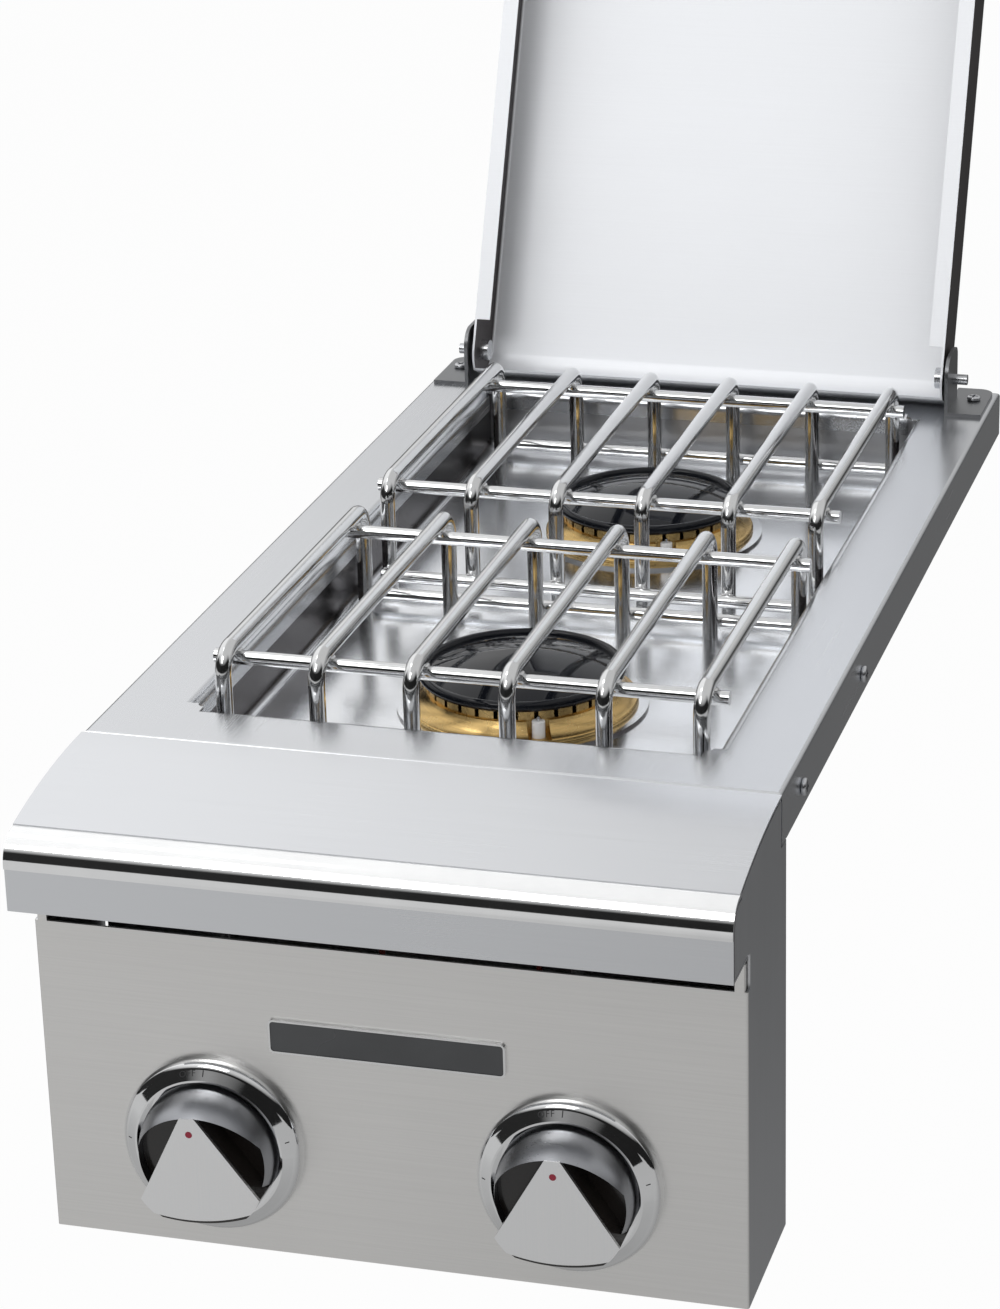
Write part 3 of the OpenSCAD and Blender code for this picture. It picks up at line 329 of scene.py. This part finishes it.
def polished(name, colour, roughness, depth=0.000002, painted_top_light=0.0):
    """Polished metal with faint polishing haze. Its upper faces can have a share of soft scatter,
    a painted highlight that makes them lighter.
    """
    finish = Finish(name)
    haze = finish.noise(finish.mapped(40), detail=4.0, roughness=0.6)
    marks = finish.noise(finish.mapped(900))
    finish.put("Base Color", finish.blend(finish.spread(haze), shade(colour, 0.96), shade(colour, 1.03)))
    finish.put("Metallic", 1.0)
    # Painted highlight: upward faces scatter softly and look lighter
    if painted_top_light:
        upward = finish.split(finish.normal)["Z"]
        finish.put("Metallic", finish.fit(upward, 0.55, 0.8, 1.0, 1 - painted_top_light))
    finish.put("Roughness", finish.fit(haze, 0.3, 0.75, roughness * 0.7, roughness * 1.7))
    finish.put("Normal", finish.bump(marks, depth))
    return finish.material


def turned_brass(name, colour, centre, roughness=0.24):
    """Turned brass with fine rings round a vertical axis."""
    rings_per_metre = 1400.0
    finish = Finish(name)
    flat = finish.vector("MULTIPLY", finish.mapped(1, centre), (1, 1, 0))
    across = finish.calc("MULTIPLY", finish.vector("LENGTH", flat), rings_per_metre)
    rings = finish.noise(finish.node("ShaderNodeCombineXYZ", across).outputs[0])
    cloud = finish.noise(finish.mapped(60), detail=4.0, roughness=0.6)
    tint = finish.blend(finish.spread(cloud), shade(colour, 0.86), shade(colour, 1.08))
    worn = finish.blend(finish.fit(rings, 0.35, 0.65, 0.0, 0.5), tint, shade(colour, 1.2))
    finish.put("Base Color", worn)
    finish.put("Metallic", 1.0)
    finish.put("Roughness", finish.spread(cloud, roughness - 0.05, roughness + 0.08))
    finish.put("Normal", finish.bump(rings, 0.00003))
    return finish.material


def glossy(name, colour, roughness, coat=0.0, gleam=0.5):
    """Glossy enamel, plastic or glaze with a slightly wavy surface."""
    finish = Finish(name)
    wavy = finish.noise(finish.mapped(120))
    cloud = finish.noise(finish.mapped(25), detail=3.0)
    finish.put("Base Color", finish.blend(finish.spread(cloud), shade(colour, 0.85), shade(colour, 1.15)))
    finish.put("Roughness", finish.spread(cloud, roughness * 0.7, roughness * 1.4))
    finish.put("Normal", finish.bump(wavy, 0.00002))
    finish.put("Specular IOR Level", gleam)
    finish.put("Coat Weight", coat)
    finish.put("Coat Roughness", 0.03)
    return finish.material


def cast_metal(name, colour, roughness=0.45):
    """Die-cast or galvanised metal with a fine grain and pale patches."""
    finish = Finish(name)
    grain = finish.noise(finish.mapped(700), detail=3.0, roughness=0.6)
    cells = finish.node("ShaderNodeTexVoronoi", finish.mapped(110))
    patch = finish.fit(cells.outputs["Distance"], 0.0, 0.8, 0.0, 1.0)
    finish.put("Base Color", finish.blend(patch, shade(colour, 1.08), shade(colour, 0.88)))
    finish.put("Metallic", 1.0)
    finish.put("Roughness", finish.spread(grain, roughness - 0.06, roughness + 0.08))
    finish.put("Normal", finish.bump(grain, 0.00004))
    return finish.material


def dress(material, *nodes):
    """Gives a finish to CAD nodes."""
    for name in nodes:
        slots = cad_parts[name].data.materials
        slots.clear()
        slots.append(material)


def each(places, node):
    """The names of a node that the object has at each of its sides or ends."""
    return tuple(place + "_" + node for place in places)


# Tools for shapes

def ready(*chosen):
    """Selects only the given objects, so that the next operator changes nothing else."""
    if bpy.context.object and bpy.context.object.mode != "OBJECT":
        bpy.ops.object.mode_set(mode="OBJECT")
    bpy.ops.object.select_all(action="DESELECT")
    for obj in chosen:
        obj.select_set(True)
    if chosen:
        bpy.context.view_layer.objects.active = chosen[0]


def apply_place(obj):
    """Moves an object's place into its mesh."""
    obj.data.transform(obj.matrix_world)
    obj.matrix_world = Matrix.Identity(4)
    return obj


def sized(obj, size):
    """Gives a new shape of size 1 its real size."""
    obj.scale = size
    bpy.context.view_layer.update()
    return apply_place(obj)


def block(size, place=(0, 0, 0)):
    """A box about a place."""
    ready()
    bpy.ops.mesh.primitive_cube_add(size=1, location=place)
    return sized(bpy.context.object, size)


def disc(radius, depth, place=(0, 0, 0), sides=64):
    """An upright cylinder about a place."""
    ready()
    bpy.ops.mesh.primitive_cylinder_add(vertices=sides, radius=radius, depth=depth, location=place)
    return apply_place(bpy.context.object)


def modify(obj, kind, **settings):
    """Adds a modifier with its settings and applies it."""
    ready(obj)
    made = obj.modifiers.new(kind.lower(), kind)
    for key, value in settings.items():
        setattr(made, key, value)
    bpy.ops.object.modifier_apply(modifier=made.name)
    return obj


def cut(obj, tool, operation="DIFFERENCE"):
    """Cuts one shape by another, which is used up."""
    modify(obj, "BOOLEAN", operation=operation, object=tool, solver="EXACT")
    bpy.data.objects.remove(tool)
    return obj


def rounded(obj, width, segments):
    """Rounds the sharp edges of a shape."""
    return modify(obj, "BEVEL", width=width, segments=segments, limit_method="ANGLE",
                  angle_limit=math.radians(40))


def joined(parts):
    """Makes one shape of several."""
    ready(*parts)
    bpy.ops.object.join()
    return parts[0]


def repeat(original, places):
    """Copies a shape to each place and joins the copies into one."""
    copies = []
    for place in places:
        copy = bpy.data.objects.new(original.name, original.data.copy())
        bpy.context.scene.collection.objects.link(copy)
        copy.data.transform(place)
        copies.append(copy)
    bpy.data.objects.remove(original)
    return joined(copies)


def piece(obj, name, material, body, smooth=35):
    """Names and dresses a shape, and lets it move with a body."""
    ready(obj)
    if smooth:
        bpy.ops.object.shade_smooth_by_angle(angle=math.radians(smooth))
    obj.name = obj.data.name = name
    obj.data.materials.clear()
    obj.data.materials.append(material)
    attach(obj, body)
    return obj


def middle(node):
    """Centre of a CAD node's box, and its size."""
    low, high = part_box(node)
    return (low + high) / 2, high - low


def turned(place, axis, angle):
    """A turn about an axis, followed by a move to a place."""
    return Matrix.Translation(place) @ Matrix.Rotation(angle, 4, axis)


# Operators: the finishes of each group of pieces

class SIDEBURNER_OT_sheet_metal(bpy.types.Operator):
    """Brush the deck, the hood, the panels, the well and the lid, and polish the bullnose"""
    bl_idname = "side_burner.sheet_metal"
    bl_label = "Sheet metal"

    def execute(self, context):
        colours = context.scene.side_burner_colours
        steel = tuple(colours.steel)
        warm_steel = (0.90, 0.892, 0.875)
        dress(brushed("deck_steel", shade(steel, 1.08), "y", 0.25, depth=0.000004, contrast=0.04),
              "top_deck")
        dress(brushed("hood_steel", shade(steel, 1.16), "x", 0.24), "front_hood")
        dress(brushed("panel_steel", warm_steel, "x", 0.36, depth=0.0000015, contrast=0.05),
              "control_panel")
        dress(brushed("side_steel", steel, "z", 0.34, contrast=0.05), *each(SIDES, "side_panel"))
        # Painted light: the lid's steel is lightened to 1.36 of the steel's tone and scatters softly
        # higher up; its side flanges get painted shade
        dress(brushed("lid_steel", shade(steel, 1.36), "x", 0.46, contrast=0.02, painted_shade_axes={"X": 0.97},
                      satin=(0.6, 0.95)), "lid")
        # Painted shade on the well's side walls and, at a smaller share, on its front and rear walls
        dress(brushed("well_steel", shade(steel, 1.34), "x", 0.19, depth=0.000003, contrast=0.04,
                      painted_shade_axes={"X": 0.985, "Y": 0.45}), "well_pan")
        # Painted highlight: the bullnose's upper faces scatter softly and look lighter
        dress(polished("bullnose_polish", shade(colours.chrome, 1.12), 0.06, painted_top_light=0.7),
              "bullnose_trim")
        # Painted shade: the hinge brackets' steel is darkened to 0.40 of the steel's tone
        dress(brushed("hinge_steel", shade(steel, 0.40), "z", 0.34), *each(SIDES, "hinge_bracket"))
        dress(cast_metal("galvanised", shade(steel, 0.75)), "burner_box", "box_bottom", "rear_panel")
        return {"FINISHED"}


class SIDEBURNER_OT_grates(bpy.types.Operator):
    """Polish the two rod grates and lay a weld bead at each crossing"""
    bl_idname = "side_burner.grates"
    bl_label = "Grates"

    def execute(self, context):
        chrome = tuple(context.scene.side_burner_colours.chrome)
        polish = polished("grate_polish", shade(chrome, 0.93), 0.09)
        dress(polish, *each(ENDS, "grate"), *each(ENDS, "grate_cross_rods"))
        metal = polished("weld_metal", shade(chrome, 0.82), 0.22, depth=0.000012)
        for end in ENDS:
            self.welds(end, metal, context.scene.side_burner_sizes.weld_radius)
        return {"FINISHED"}

    def welds(self, end, metal, radius):
        """A bead on both sides of a bent rod, wherever it meets a cross rod."""
        rods, rod_size = middle(end + "_grate")
        bars, bar_size = middle(end + "_grate_cross_rods")
        first = rods.x - rod_size.x / 2 + ROD_R
        pitch = (rod_size.x - 2 * ROD_R) / (ROD_COUNT - 1)
        top = rods.z + rod_size.z / 2 - 2 * ROD_R
        foot = bars.z - bar_size.z / 2 + CROSS_ROD_R
        beside = radius * 0.8
        low_and_long = Matrix.Diagonal((1, 1.3, 0.6, 1))
        high_and_short = Matrix.Diagonal((1, 0.6, 1.3, 1))
        ready()
        bpy.ops.mesh.primitive_ico_sphere_add(subdivisions=3, radius=radius)
        bead = apply_place(bpy.context.object)
        places = []
        for index in range(ROD_COUNT):
            for sy in (-1, 1):
                row = rods.y + sy * (rod_size.y / 2 - ROD_R)
                for sx in (-1, 1):
                    x = first + index * pitch + sx * beside
                    places.append(Matrix.Translation((x, row - sy * CROSS_ROD_INSET, top)) @ low_and_long)
                    places.append(Matrix.Translation((x, row + sy * ROD_R, foot)) @ high_and_short)
        piece(repeat(bead, places), end + "_grate_welds", metal, end + "_grate")


class SIDEBURNER_OT_burners(bpy.types.Operator):
    """Finish the brass heads, the enamel caps, the igniters and the parts below them"""
    bl_idname = "side_burner.burners"
    bl_label = "Burners"

    def execute(self, context):
        colours = context.scene.side_burner_colours
        for end in ENDS:
            low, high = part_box(end + "_burner_head")
            centre = (low + high) / 2
            axis = (centre.x, centre.y, 0)
            dress(turned_brass(end + "_brass", colours.brass, axis), end + "_burner_head")
            dress(turned_brass(end + "_jet_brass", shade(colours.brass, 1.1), axis), end + "_jet")
        dress(glossy("cap_enamel", colours.enamel, 0.05, gleam=0.3), *each(ENDS, "burner_cap"))
        dress(glossy("igniter_glaze", (0.97, 0.96, 0.94), 0.22), *each(ENDS, "igniter"))
        dress(polished("electrode_steel", shade(colours.steel, 0.9), 0.2), *each(ENDS, "igniter_tip"))
        dress(glossy("lead_sleeve", (0.35, 0.05, 0.04), 0.4), *each(ENDS, "igniter_lead"))
        dress(cast_metal("cup_casting", (0.58, 0.59, 0.60)), *each(ENDS, "burner_cup"))
        for end in ENDS:
            self.seat(end)
        return {"FINISHED"}

    def seat(self, end):
        """The head's rim in front of the igniter, with the hole that the ceramic stands in."""
        edge_step = 0.1 * MM
        hole_gap = 0.4 * MM
        tool_height = 10 * MM
        head, head_size = middle(end + "_burner_head")
        igniter, igniter_size = middle(end + "_igniter")
        radius = max(head_size.x, head_size.y) / 2 - edge_step
        away = Vector((igniter.x - head.x, igniter.y - head.y, 0))
        centre = (away.length, 0, 0)
        seat = block((2 * (radius - away.length), HEAD_NOTCH + 2 * edge_step, HEAD_PLATE), centre)
        cut(seat, disc(radius, tool_height, sides=192), "INTERSECT")
        cut(seat, disc(igniter_size.x / 2 + hole_gap, tool_height, centre, sides=48))
        rounded(seat, 0.3 * MM, 2)
        place = (head.x, head.y, self.land(end) + HEAD_PLATE / 2)
        seat.data.transform(turned(place, "Z", math.atan2(away.y, away.x)))
        brass = bpy.data.materials[end + "_brass"]
        piece(seat, end + "_igniter_seat", brass, end + "_head")

    def land(self, end):
        """Height of the stamped land that a head stands on: the cup's top and one sheet."""
        cup, cup_size = middle(end + "_burner_cup")
        return cup.z + cup_size.z / 2 + SHEET


class SIDEBURNER_OT_controls(bpy.types.Operator):
    """Finish the bezels, the knobs, the gas fittings and the hidden screws"""
    bl_idname = "side_burner.controls"
    bl_label = "Controls"

    def execute(self, context):
        colours = context.scene.side_burner_colours
        brass = cast_metal("valve_brass", shade(colours.brass, 0.95), 0.35)
        zinc = polished("zinc_plate", shade(colours.steel, 0.95), 0.25)
        tube = polished("tube_aluminium", (0.72, 0.73, 0.74), 0.28)
        dress(polished("bezel_chrome", colours.chrome, 0.05), *each(SIDES, "bezel"))
        dress(brushed("knob_pewter", colours.pewter, "x", contrast=0.04), *each(SIDES, "knob_shell"))
        dress(glossy("knob_black", (0.012, 0.010, 0.009), 0.16, coat=0.4), *each(SIDES, "knob_core"))
        dress(brushed("knob_satin", (0.98, 0.99, 1.0), "z", 0.34, depth=0.000003),
              *each(SIDES, "knob_face"))
        dress(glossy("knob_dot_red", colours.dot, 0.3), *each(SIDES, "knob_dot"))
        dress(brass, *each(SIDES, "valve"), *each(SIDES, "valve_stem"), "gas_inlet_fitting")
        dress(zinc, *each(SIDES, "stem_washer"), *each(SIDES, "lid_pin"), "hinge_screws", "side_screws",
              "valve_screws", "burner_cup_screws", "box_screws")
        dress(tube, *each(ENDS, "gas_tube"), "gas_manifold")
        dress(glossy("module_plastic", (0.03, 0.03, 0.03), 0.45), "spark_module")
        return {"FINISHED"}


class SIDEBURNER_OT_screws(bpy.types.Operator):
    """Make the screws that show, with a cross recess in each head"""
    bl_idname = "side_burner.screws"
    bl_label = "Screws"

    def execute(self, context):
        share = context.scene.side_burner_sizes.recess_share
        zinc = bpy.data.materials["zinc_plate"]
        self.sides(zinc, share)
        self.hinges(zinc, share)
        return {"FINISHED"}

    def head(self, radius, height, share):
        """A pan head with its seat at the origin and its crown along +Z."""
        head = disc(radius, height, (0, 0, height / 2))
        crown = 0.75 * height
        rounded(head, crown, 5)
        reach = 2 * radius * share
        width = 0.32 * radius
        place = (0, 0, 0.9 * height)
        cross = cut(block((reach, width, height), place), block((width, reach, height), place), "UNION")
        return cut(head, cross)

    def sides(self, metal, share):
        """The four screws on the deck's side flanges."""
        centre, size = middle("side_screws")
        _, deck_size = middle("top_deck")
        radius = size.z / 2
        height = (size.x - deck_size.x) / 2
        x = size.x / 2 - height
        y = size.y / 2 - radius
        places = [turned((sx * x, centre.y + sy * y, centre.z), "Y", sx * QUARTER)
                  for sx in (-1, 1) for sy in (-1, 1)]
        heads = repeat(self.head(radius, height, share), places)
        made = piece(heads, "deck_side_screws", metal, "chassis")
        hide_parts("side_screws")

    def hinges(self, metal, share):
        """The screw on the foot of each hinge bracket, each at its own turn."""
        mean_turn = 0.5
        centre, size = middle("hinge_screws")
        radius = size.y / 2
        x = size.x / 2 - radius
        top = centre.z + size.z / 2 - HINGE_SCREW_HEAD
        places = [turned((sx * x, centre.y, top), "Z", mean_turn + sx) for sx in (-1, 1)]
        heads = repeat(self.head(radius, HINGE_SCREW_HEAD, share), places)
        made = piece(heads, "hinge_foot_screws", metal, "chassis")
        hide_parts("hinge_screws")


class SIDEBURNER_OT_thread(bpy.types.Operator):
    """Wind the thread on the gas inlet's free end"""
    bl_idname = "side_burner.thread"
    bl_label = "Inlet thread"

    def execute(self, context):
        plain_end = 0.8 * MM
        steps = 40
        sizes = context.scene.side_burner_sizes
        ridge_r = 0.42 * sizes.thread_pitch
        fitting, size = middle("gas_inlet_fitting")
        ready()
        bpy.ops.mesh.primitive_circle_add(vertices=3, radius=ridge_r, location=(THREAD_R, 0, 0),
                                          rotation=(QUARTER, 0, 0))
        ridge = apply_place(bpy.context.object)
        turns = int(sizes.thread_length / sizes.thread_pitch)
        modify(ridge, "SCREW", axis="Z", screw_offset=sizes.thread_pitch, iterations=turns,
               steps=steps, render_steps=steps, use_merge_vertices=True)
        place = (fitting.x + size.x / 2 - FITTING_R, fitting.y + size.y / 2 - plain_end, fitting.z)
        ridge.data.transform(turned(place, "X", QUARTER))
        piece(ridge, "inlet_thread", bpy.data.materials["valve_brass"], "chassis")
        return {"FINISHED"}


class SIDEBURNER_OT_marks(bpy.types.Operator):
    """Print the marks on the bezels and fix a bare badge plate to the control panel"""
    bl_idname = "side_burner.marks"
    bl_label = "Marks and badge"

    def execute(self, context):
        sizes = context.scene.side_burner_sizes
        ink = glossy("mark_ink", (0.03, 0.03, 0.032), 0.4)
        for side in SIDES:
            self.marks(side, sizes, ink)
        self.badge(sizes, context.scene.side_burner_colours.chrome)
        return {"FINISHED"}

    def marks(self, side, sizes, ink):
        """The word OFF and ticks, bent on to the sloping ring of a bezel. Angles are in degrees
        clockwise from the top, and a tick's length is a share of the letters' height."""
        word_angle = -13
        ticks = ((-1.5, 1.0), (-88, 0.7), (-150, 0.7), (78, 0.7))
        ink_depth = 0.01 * MM
        size_over_height = 1.4
        ready()
        bpy.ops.object.text_add()
        word = bpy.context.object
        word.data.body = "OFF"
        word.data.size = sizes.mark_height * size_over_height
        word.data.align_x = "CENTER"
        word.data.align_y = "CENTER"
        word.data.space_character = 1.15
        bpy.ops.object.convert(target="MESH")
        parts = [self.bent(word, word_angle)]
        for angle, length in ticks:
            tick = block((sizes.mark_width, sizes.mark_height * length, ink_depth))
            parts.append(self.bent(tick, angle))
        marks = joined(parts)
        bezel, _ = middle(side + "_bezel")
        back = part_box(side + "_bezel")[1][1]
        marks.data.transform(Matrix.Translation((bezel.x, back, bezel.z)))
        piece(marks, side + "_bezel_marks", ink, "chassis", smooth=0)

    def bent(self, flat, angle):
        """Lays a flat shape on the ring: its width goes round and its height outwards."""
        clear = 0.06 * MM
        for vertex in flat.data.vertices:
            x, y, z = vertex.co
            round_way = math.radians(angle) + x / MARK_RING_R
            radius = MARK_RING_R + y * math.cos(BEZEL_SLOPE)
            lift = MARK_RING_H - y * math.sin(BEZEL_SLOPE) + clear + z
            vertex.co = Vector((radius * math.sin(round_way), -lift, radius * math.cos(round_way)))
        return flat

    def badge(self, sizes, chrome):
        """A plain plate with a bright rim and a dark field."""
        corner = 2.5 * MM
        thickness = 1.4 * MM
        rim_width = 0.9 * MM
        field_depth = 0.5 * MM
        ready()
        bpy.ops.mesh.primitive_plane_add(size=1, rotation=(QUARTER, 0, 0))
        plate = sized(bpy.context.object, (sizes.badge_width, sizes.badge_height, 1))
        bpy.ops.object.mode_set(mode="EDIT")
        bpy.ops.mesh.select_all(action="SELECT")
        bpy.ops.mesh.bevel(affect="VERTICES", offset=corner, segments=6)
        bpy.ops.mesh.extrude_region_move(TRANSFORM_OT_translate={"value": (0, -thickness, 0)})
        bpy.ops.mesh.inset(thickness=rim_width)
        bpy.ops.mesh.extrude_region_move(TRANSFORM_OT_translate={"value": (0, field_depth, 0)})
        bpy.ops.object.mode_set(mode="OBJECT")
        field = next(face.index for face in plate.data.polygons if face.select)
        bpy.ops.object.mode_set(mode="EDIT")
        bpy.ops.mesh.select_all(action="SELECT")
        bpy.ops.mesh.normals_make_consistent(inside=False)
        bpy.ops.object.mode_set(mode="OBJECT")
        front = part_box("control_panel")[0][1]
        plate.data.transform(Matrix.Translation((0, front, sizes.badge_place)))
        piece(plate, "badge_plate", polished("badge_rim", chrome, 0.12), "chassis", smooth=0)
        plate.data.materials.append(glossy("badge_field", (0.05, 0.052, 0.055), 0.25, coat=0.3))
        plate.data.polygons[field].material_index = 1


class SIDEBURNER_OT_stage(bpy.types.Operator):
    """Make the floor, the lamps, the studio's light and the camera"""
    bl_idname = "side_burner.stage"
    bl_label = "Studio"

    def execute(self, context):
        studio = context.scene.side_burner_studio
        self.floor(studio)
        self.world(studio)
        self.lamps(studio)
        self.camera(studio)
        context.scene.view_settings.view_transform = "Standard"
        return {"FINISHED"}

    def floor(self, studio):
        """White paper for the camera. Metal sees a tone that falls to the rear and to the right."""
        width = 40
        white_share = 0.95
        ready()
        bpy.ops.mesh.primitive_plane_add(size=width, location=(0, 0, -studio.floor_drop))
        floor = apply_place(bpy.context.object)
        floor.name = "studio_floor"
        paper = Finish("floor_paper")
        tone = paper.noise(paper.mapped(1.5), detail=3.0)
        colour = studio.floor_colour
        paper.put("Base Color", paper.blend(tone, shade(colour, 0.99), shade(colour, 1.01)))
        paper.put("Roughness", 0.9)
        place = paper.split(paper.place)
        far = paper.fit(place["Y"], -1.2, 1.7, studio.floor_near, studio.floor_far)
        left = paper.fit(place["X"], -0.9, -0.2, 1.1, 0.88)
        mirrored = paper.node("ShaderNodeEmission", paper.calc("MULTIPLY", far, left), 1.0)
        white = paper.node("ShaderNodeEmission", (1, 1, 1), 1.0)
        ray = paper.node("ShaderNodeLightPath").outputs
        lit = paper.mix(ray["Is Glossy Ray"], paper.shader.outputs[0], mirrored.outputs[0])
        share = paper.calc("MULTIPLY", ray["Is Camera Ray"], white_share)
        seen = paper.mix(share, lit, white.outputs[0])
        paper.feed(paper.nodes["Material Output"].inputs["Surface"], seen)
        floor.data.materials.append(paper.material)

    def world(self, studio):
        """Soft light from all sides. Metal sees a dark band at the front horizon and a fall of
        tone from left to right instead. Each stop is the height of a direction and its tone."""
        lowest = -0.5
        highest = 1.5
        rear_shift = 0.42
        stops = ((-0.5, 0.6), (-0.05, 0.6), (-0.03, studio.band),
                 (0.42, studio.band), (0.58, 0.6), (0.8, 1.0))
        world = bpy.data.worlds.new("studio_light")
        bpy.context.scene.world = world
        world.use_nodes = True
        light = Nodes(world.node_tree)
        ahead = light.split(light.node("ShaderNodeTexCoord").outputs["Generated"])
        behind = light.fit(ahead["Y"], -0.15, 0.15, 0.0, rear_shift)
        height = light.fit(light.calc("ADD", ahead["Z"], behind), lowest, highest, 0.0, 1.0)
        ramp = light.node("ShaderNodeValToRGB", height)
        elements = ramp.color_ramp.elements
        while len(elements) < len(stops):
            elements.new(0.5)
        for element, (level, tone) in zip(elements, stops):
            element.position = (level - lowest) / (highest - lowest)
            element.color = (tone, tone, tone, 1)
        side = light.fit(ahead["X"], -0.36, -0.14, 1.0, studio.right_dim)
        metal = light.node("ShaderNodeBackground", light.calc("MULTIPLY", ramp.outputs[0], side))
        white = light.node("ShaderNodeBackground", (1, 1, 1))
        soft = light.nodes["Background"]
        light.feed(soft.inputs["Color"], (1, 1, 1))
        light.feed(soft.inputs["Strength"], studio.sky)
        ray = light.node("ShaderNodeLightPath").outputs
        lit = light.mix(ray["Is Glossy Ray"], soft.outputs[0], metal.outputs[0])
        seen = light.mix(ray["Is Camera Ray"], lit, white.outputs[0])
        light.feed(light.nodes["World Output"].inputs["Surface"], seen)

    def lamps(self, studio):
        """A soft key lamp that metal doesn't mirror, a small one that it does, and one in front."""
        power = studio.key_power
        self.lamp("key_lamp", (-0.9, 0.1, 1.7), (0, 0.25, 0), size=1.3, power=power, mirrored=False)
        self.lamp("glint_lamp", (-0.7, 0.1, 1.5), (0, 0.1, 0), size=0.35, power=power * 0.12)
        self.lamp("front_lamp", (-0.45, -1.15, 1.4), (0, 0.1, 0), size=0.8, power=power * 0.75)

    def lamp(self, name, place, target, size, power, mirrored=True):
        """A square lamp at a place, which points at a target."""
        data = bpy.data.lights.new(name, "AREA")
        data.shape = "SQUARE"
        data.size = size
        data.energy = power
        lamp = bpy.data.objects.new(name, data)
        bpy.context.scene.collection.objects.link(lamp)
        lamp.visible_glossy = mirrored
        lamp.location = place
        lamp.rotation_euler = (Vector(target) - Vector(place)).to_track_quat("-Z", "Y").to_euler()

    def camera(self, studio):
        """The photograph's camera. Its frame is moved sideways by a number of the photograph's
        pixels, which Blender takes as a share of the frame's longer edge."""
        moved_pixels = -100
        longer_edge = 1309
        yaw = studio.camera_yaw
        pitch = studio.camera_pitch
        roll = studio.camera_roll
        ahead = Vector((-math.sin(yaw) * math.cos(pitch), math.cos(yaw) * math.cos(pitch),
                        -math.sin(pitch)))
        level = Vector((math.cos(yaw), math.sin(yaw), 0))
        down = ahead.cross(level)
        right = math.cos(roll) * level + math.sin(roll) * down
        under = math.cos(roll) * down - math.sin(roll) * level
        data = bpy.data.cameras.new("photo_camera")
        data.sensor_width = 36
        data.lens = studio.lens
        data.shift_x = moved_pixels / longer_edge
        camera = bpy.data.objects.new("photo_camera", data)
        bpy.context.scene.collection.objects.link(camera)
        turn = Matrix((right, -under, -ahead)).transposed().to_4x4()
        camera.matrix_world = Matrix.Translation(studio.camera_place) @ turn
        bpy.context.scene.camera = camera


class SIDEBURNER_PT_panel(bpy.types.Panel):
    """The side burner's pieces and settings"""
    bl_idname = "SIDEBURNER_PT_panel"
    bl_label = "Side burner"
    bl_space_type = "VIEW_3D"
    bl_region_type = "UI"
    bl_category = "Side burner"

    def draw(self, context):
        for step in STEPS:
            self.layout.operator(step.bl_idname)
        for name, group in GROUPS.items():
            box = self.layout.box()
            settings = getattr(context.scene, name)
            for setting in group.__annotations__:
                box.prop(settings, setting)


STEPS = (
    SIDEBURNER_OT_stage,
    SIDEBURNER_OT_sheet_metal,
    SIDEBURNER_OT_grates,
    SIDEBURNER_OT_burners,
    SIDEBURNER_OT_controls,
    SIDEBURNER_OT_screws,
    SIDEBURNER_OT_thread,
    SIDEBURNER_OT_marks,
)
GROUPS = {
    "side_burner_sizes": SideBurnerSizes,
    "side_burner_colours": SideBurnerColours,
    "side_burner_studio": SideBurnerStudio,
}
CLASSES = (*GROUPS.values(), *STEPS, SIDEBURNER_PT_panel)


def register():
    for item in CLASSES:
        bpy.utils.register_class(item)
    for name, group in GROUPS.items():
        setattr(bpy.types.Scene, name, bpy.props.PointerProperty(type=group))


def unregister():
    for name in GROUPS:
        delattr(bpy.types.Scene, name)
    for item in reversed(CLASSES):
        bpy.utils.unregister_class(item)


def main():
    register()
    for step in STEPS:
        group, name = step.bl_idname.split(".")
        getattr(getattr(bpy.ops, group), name)()


if __name__ == "__main__":
    main()
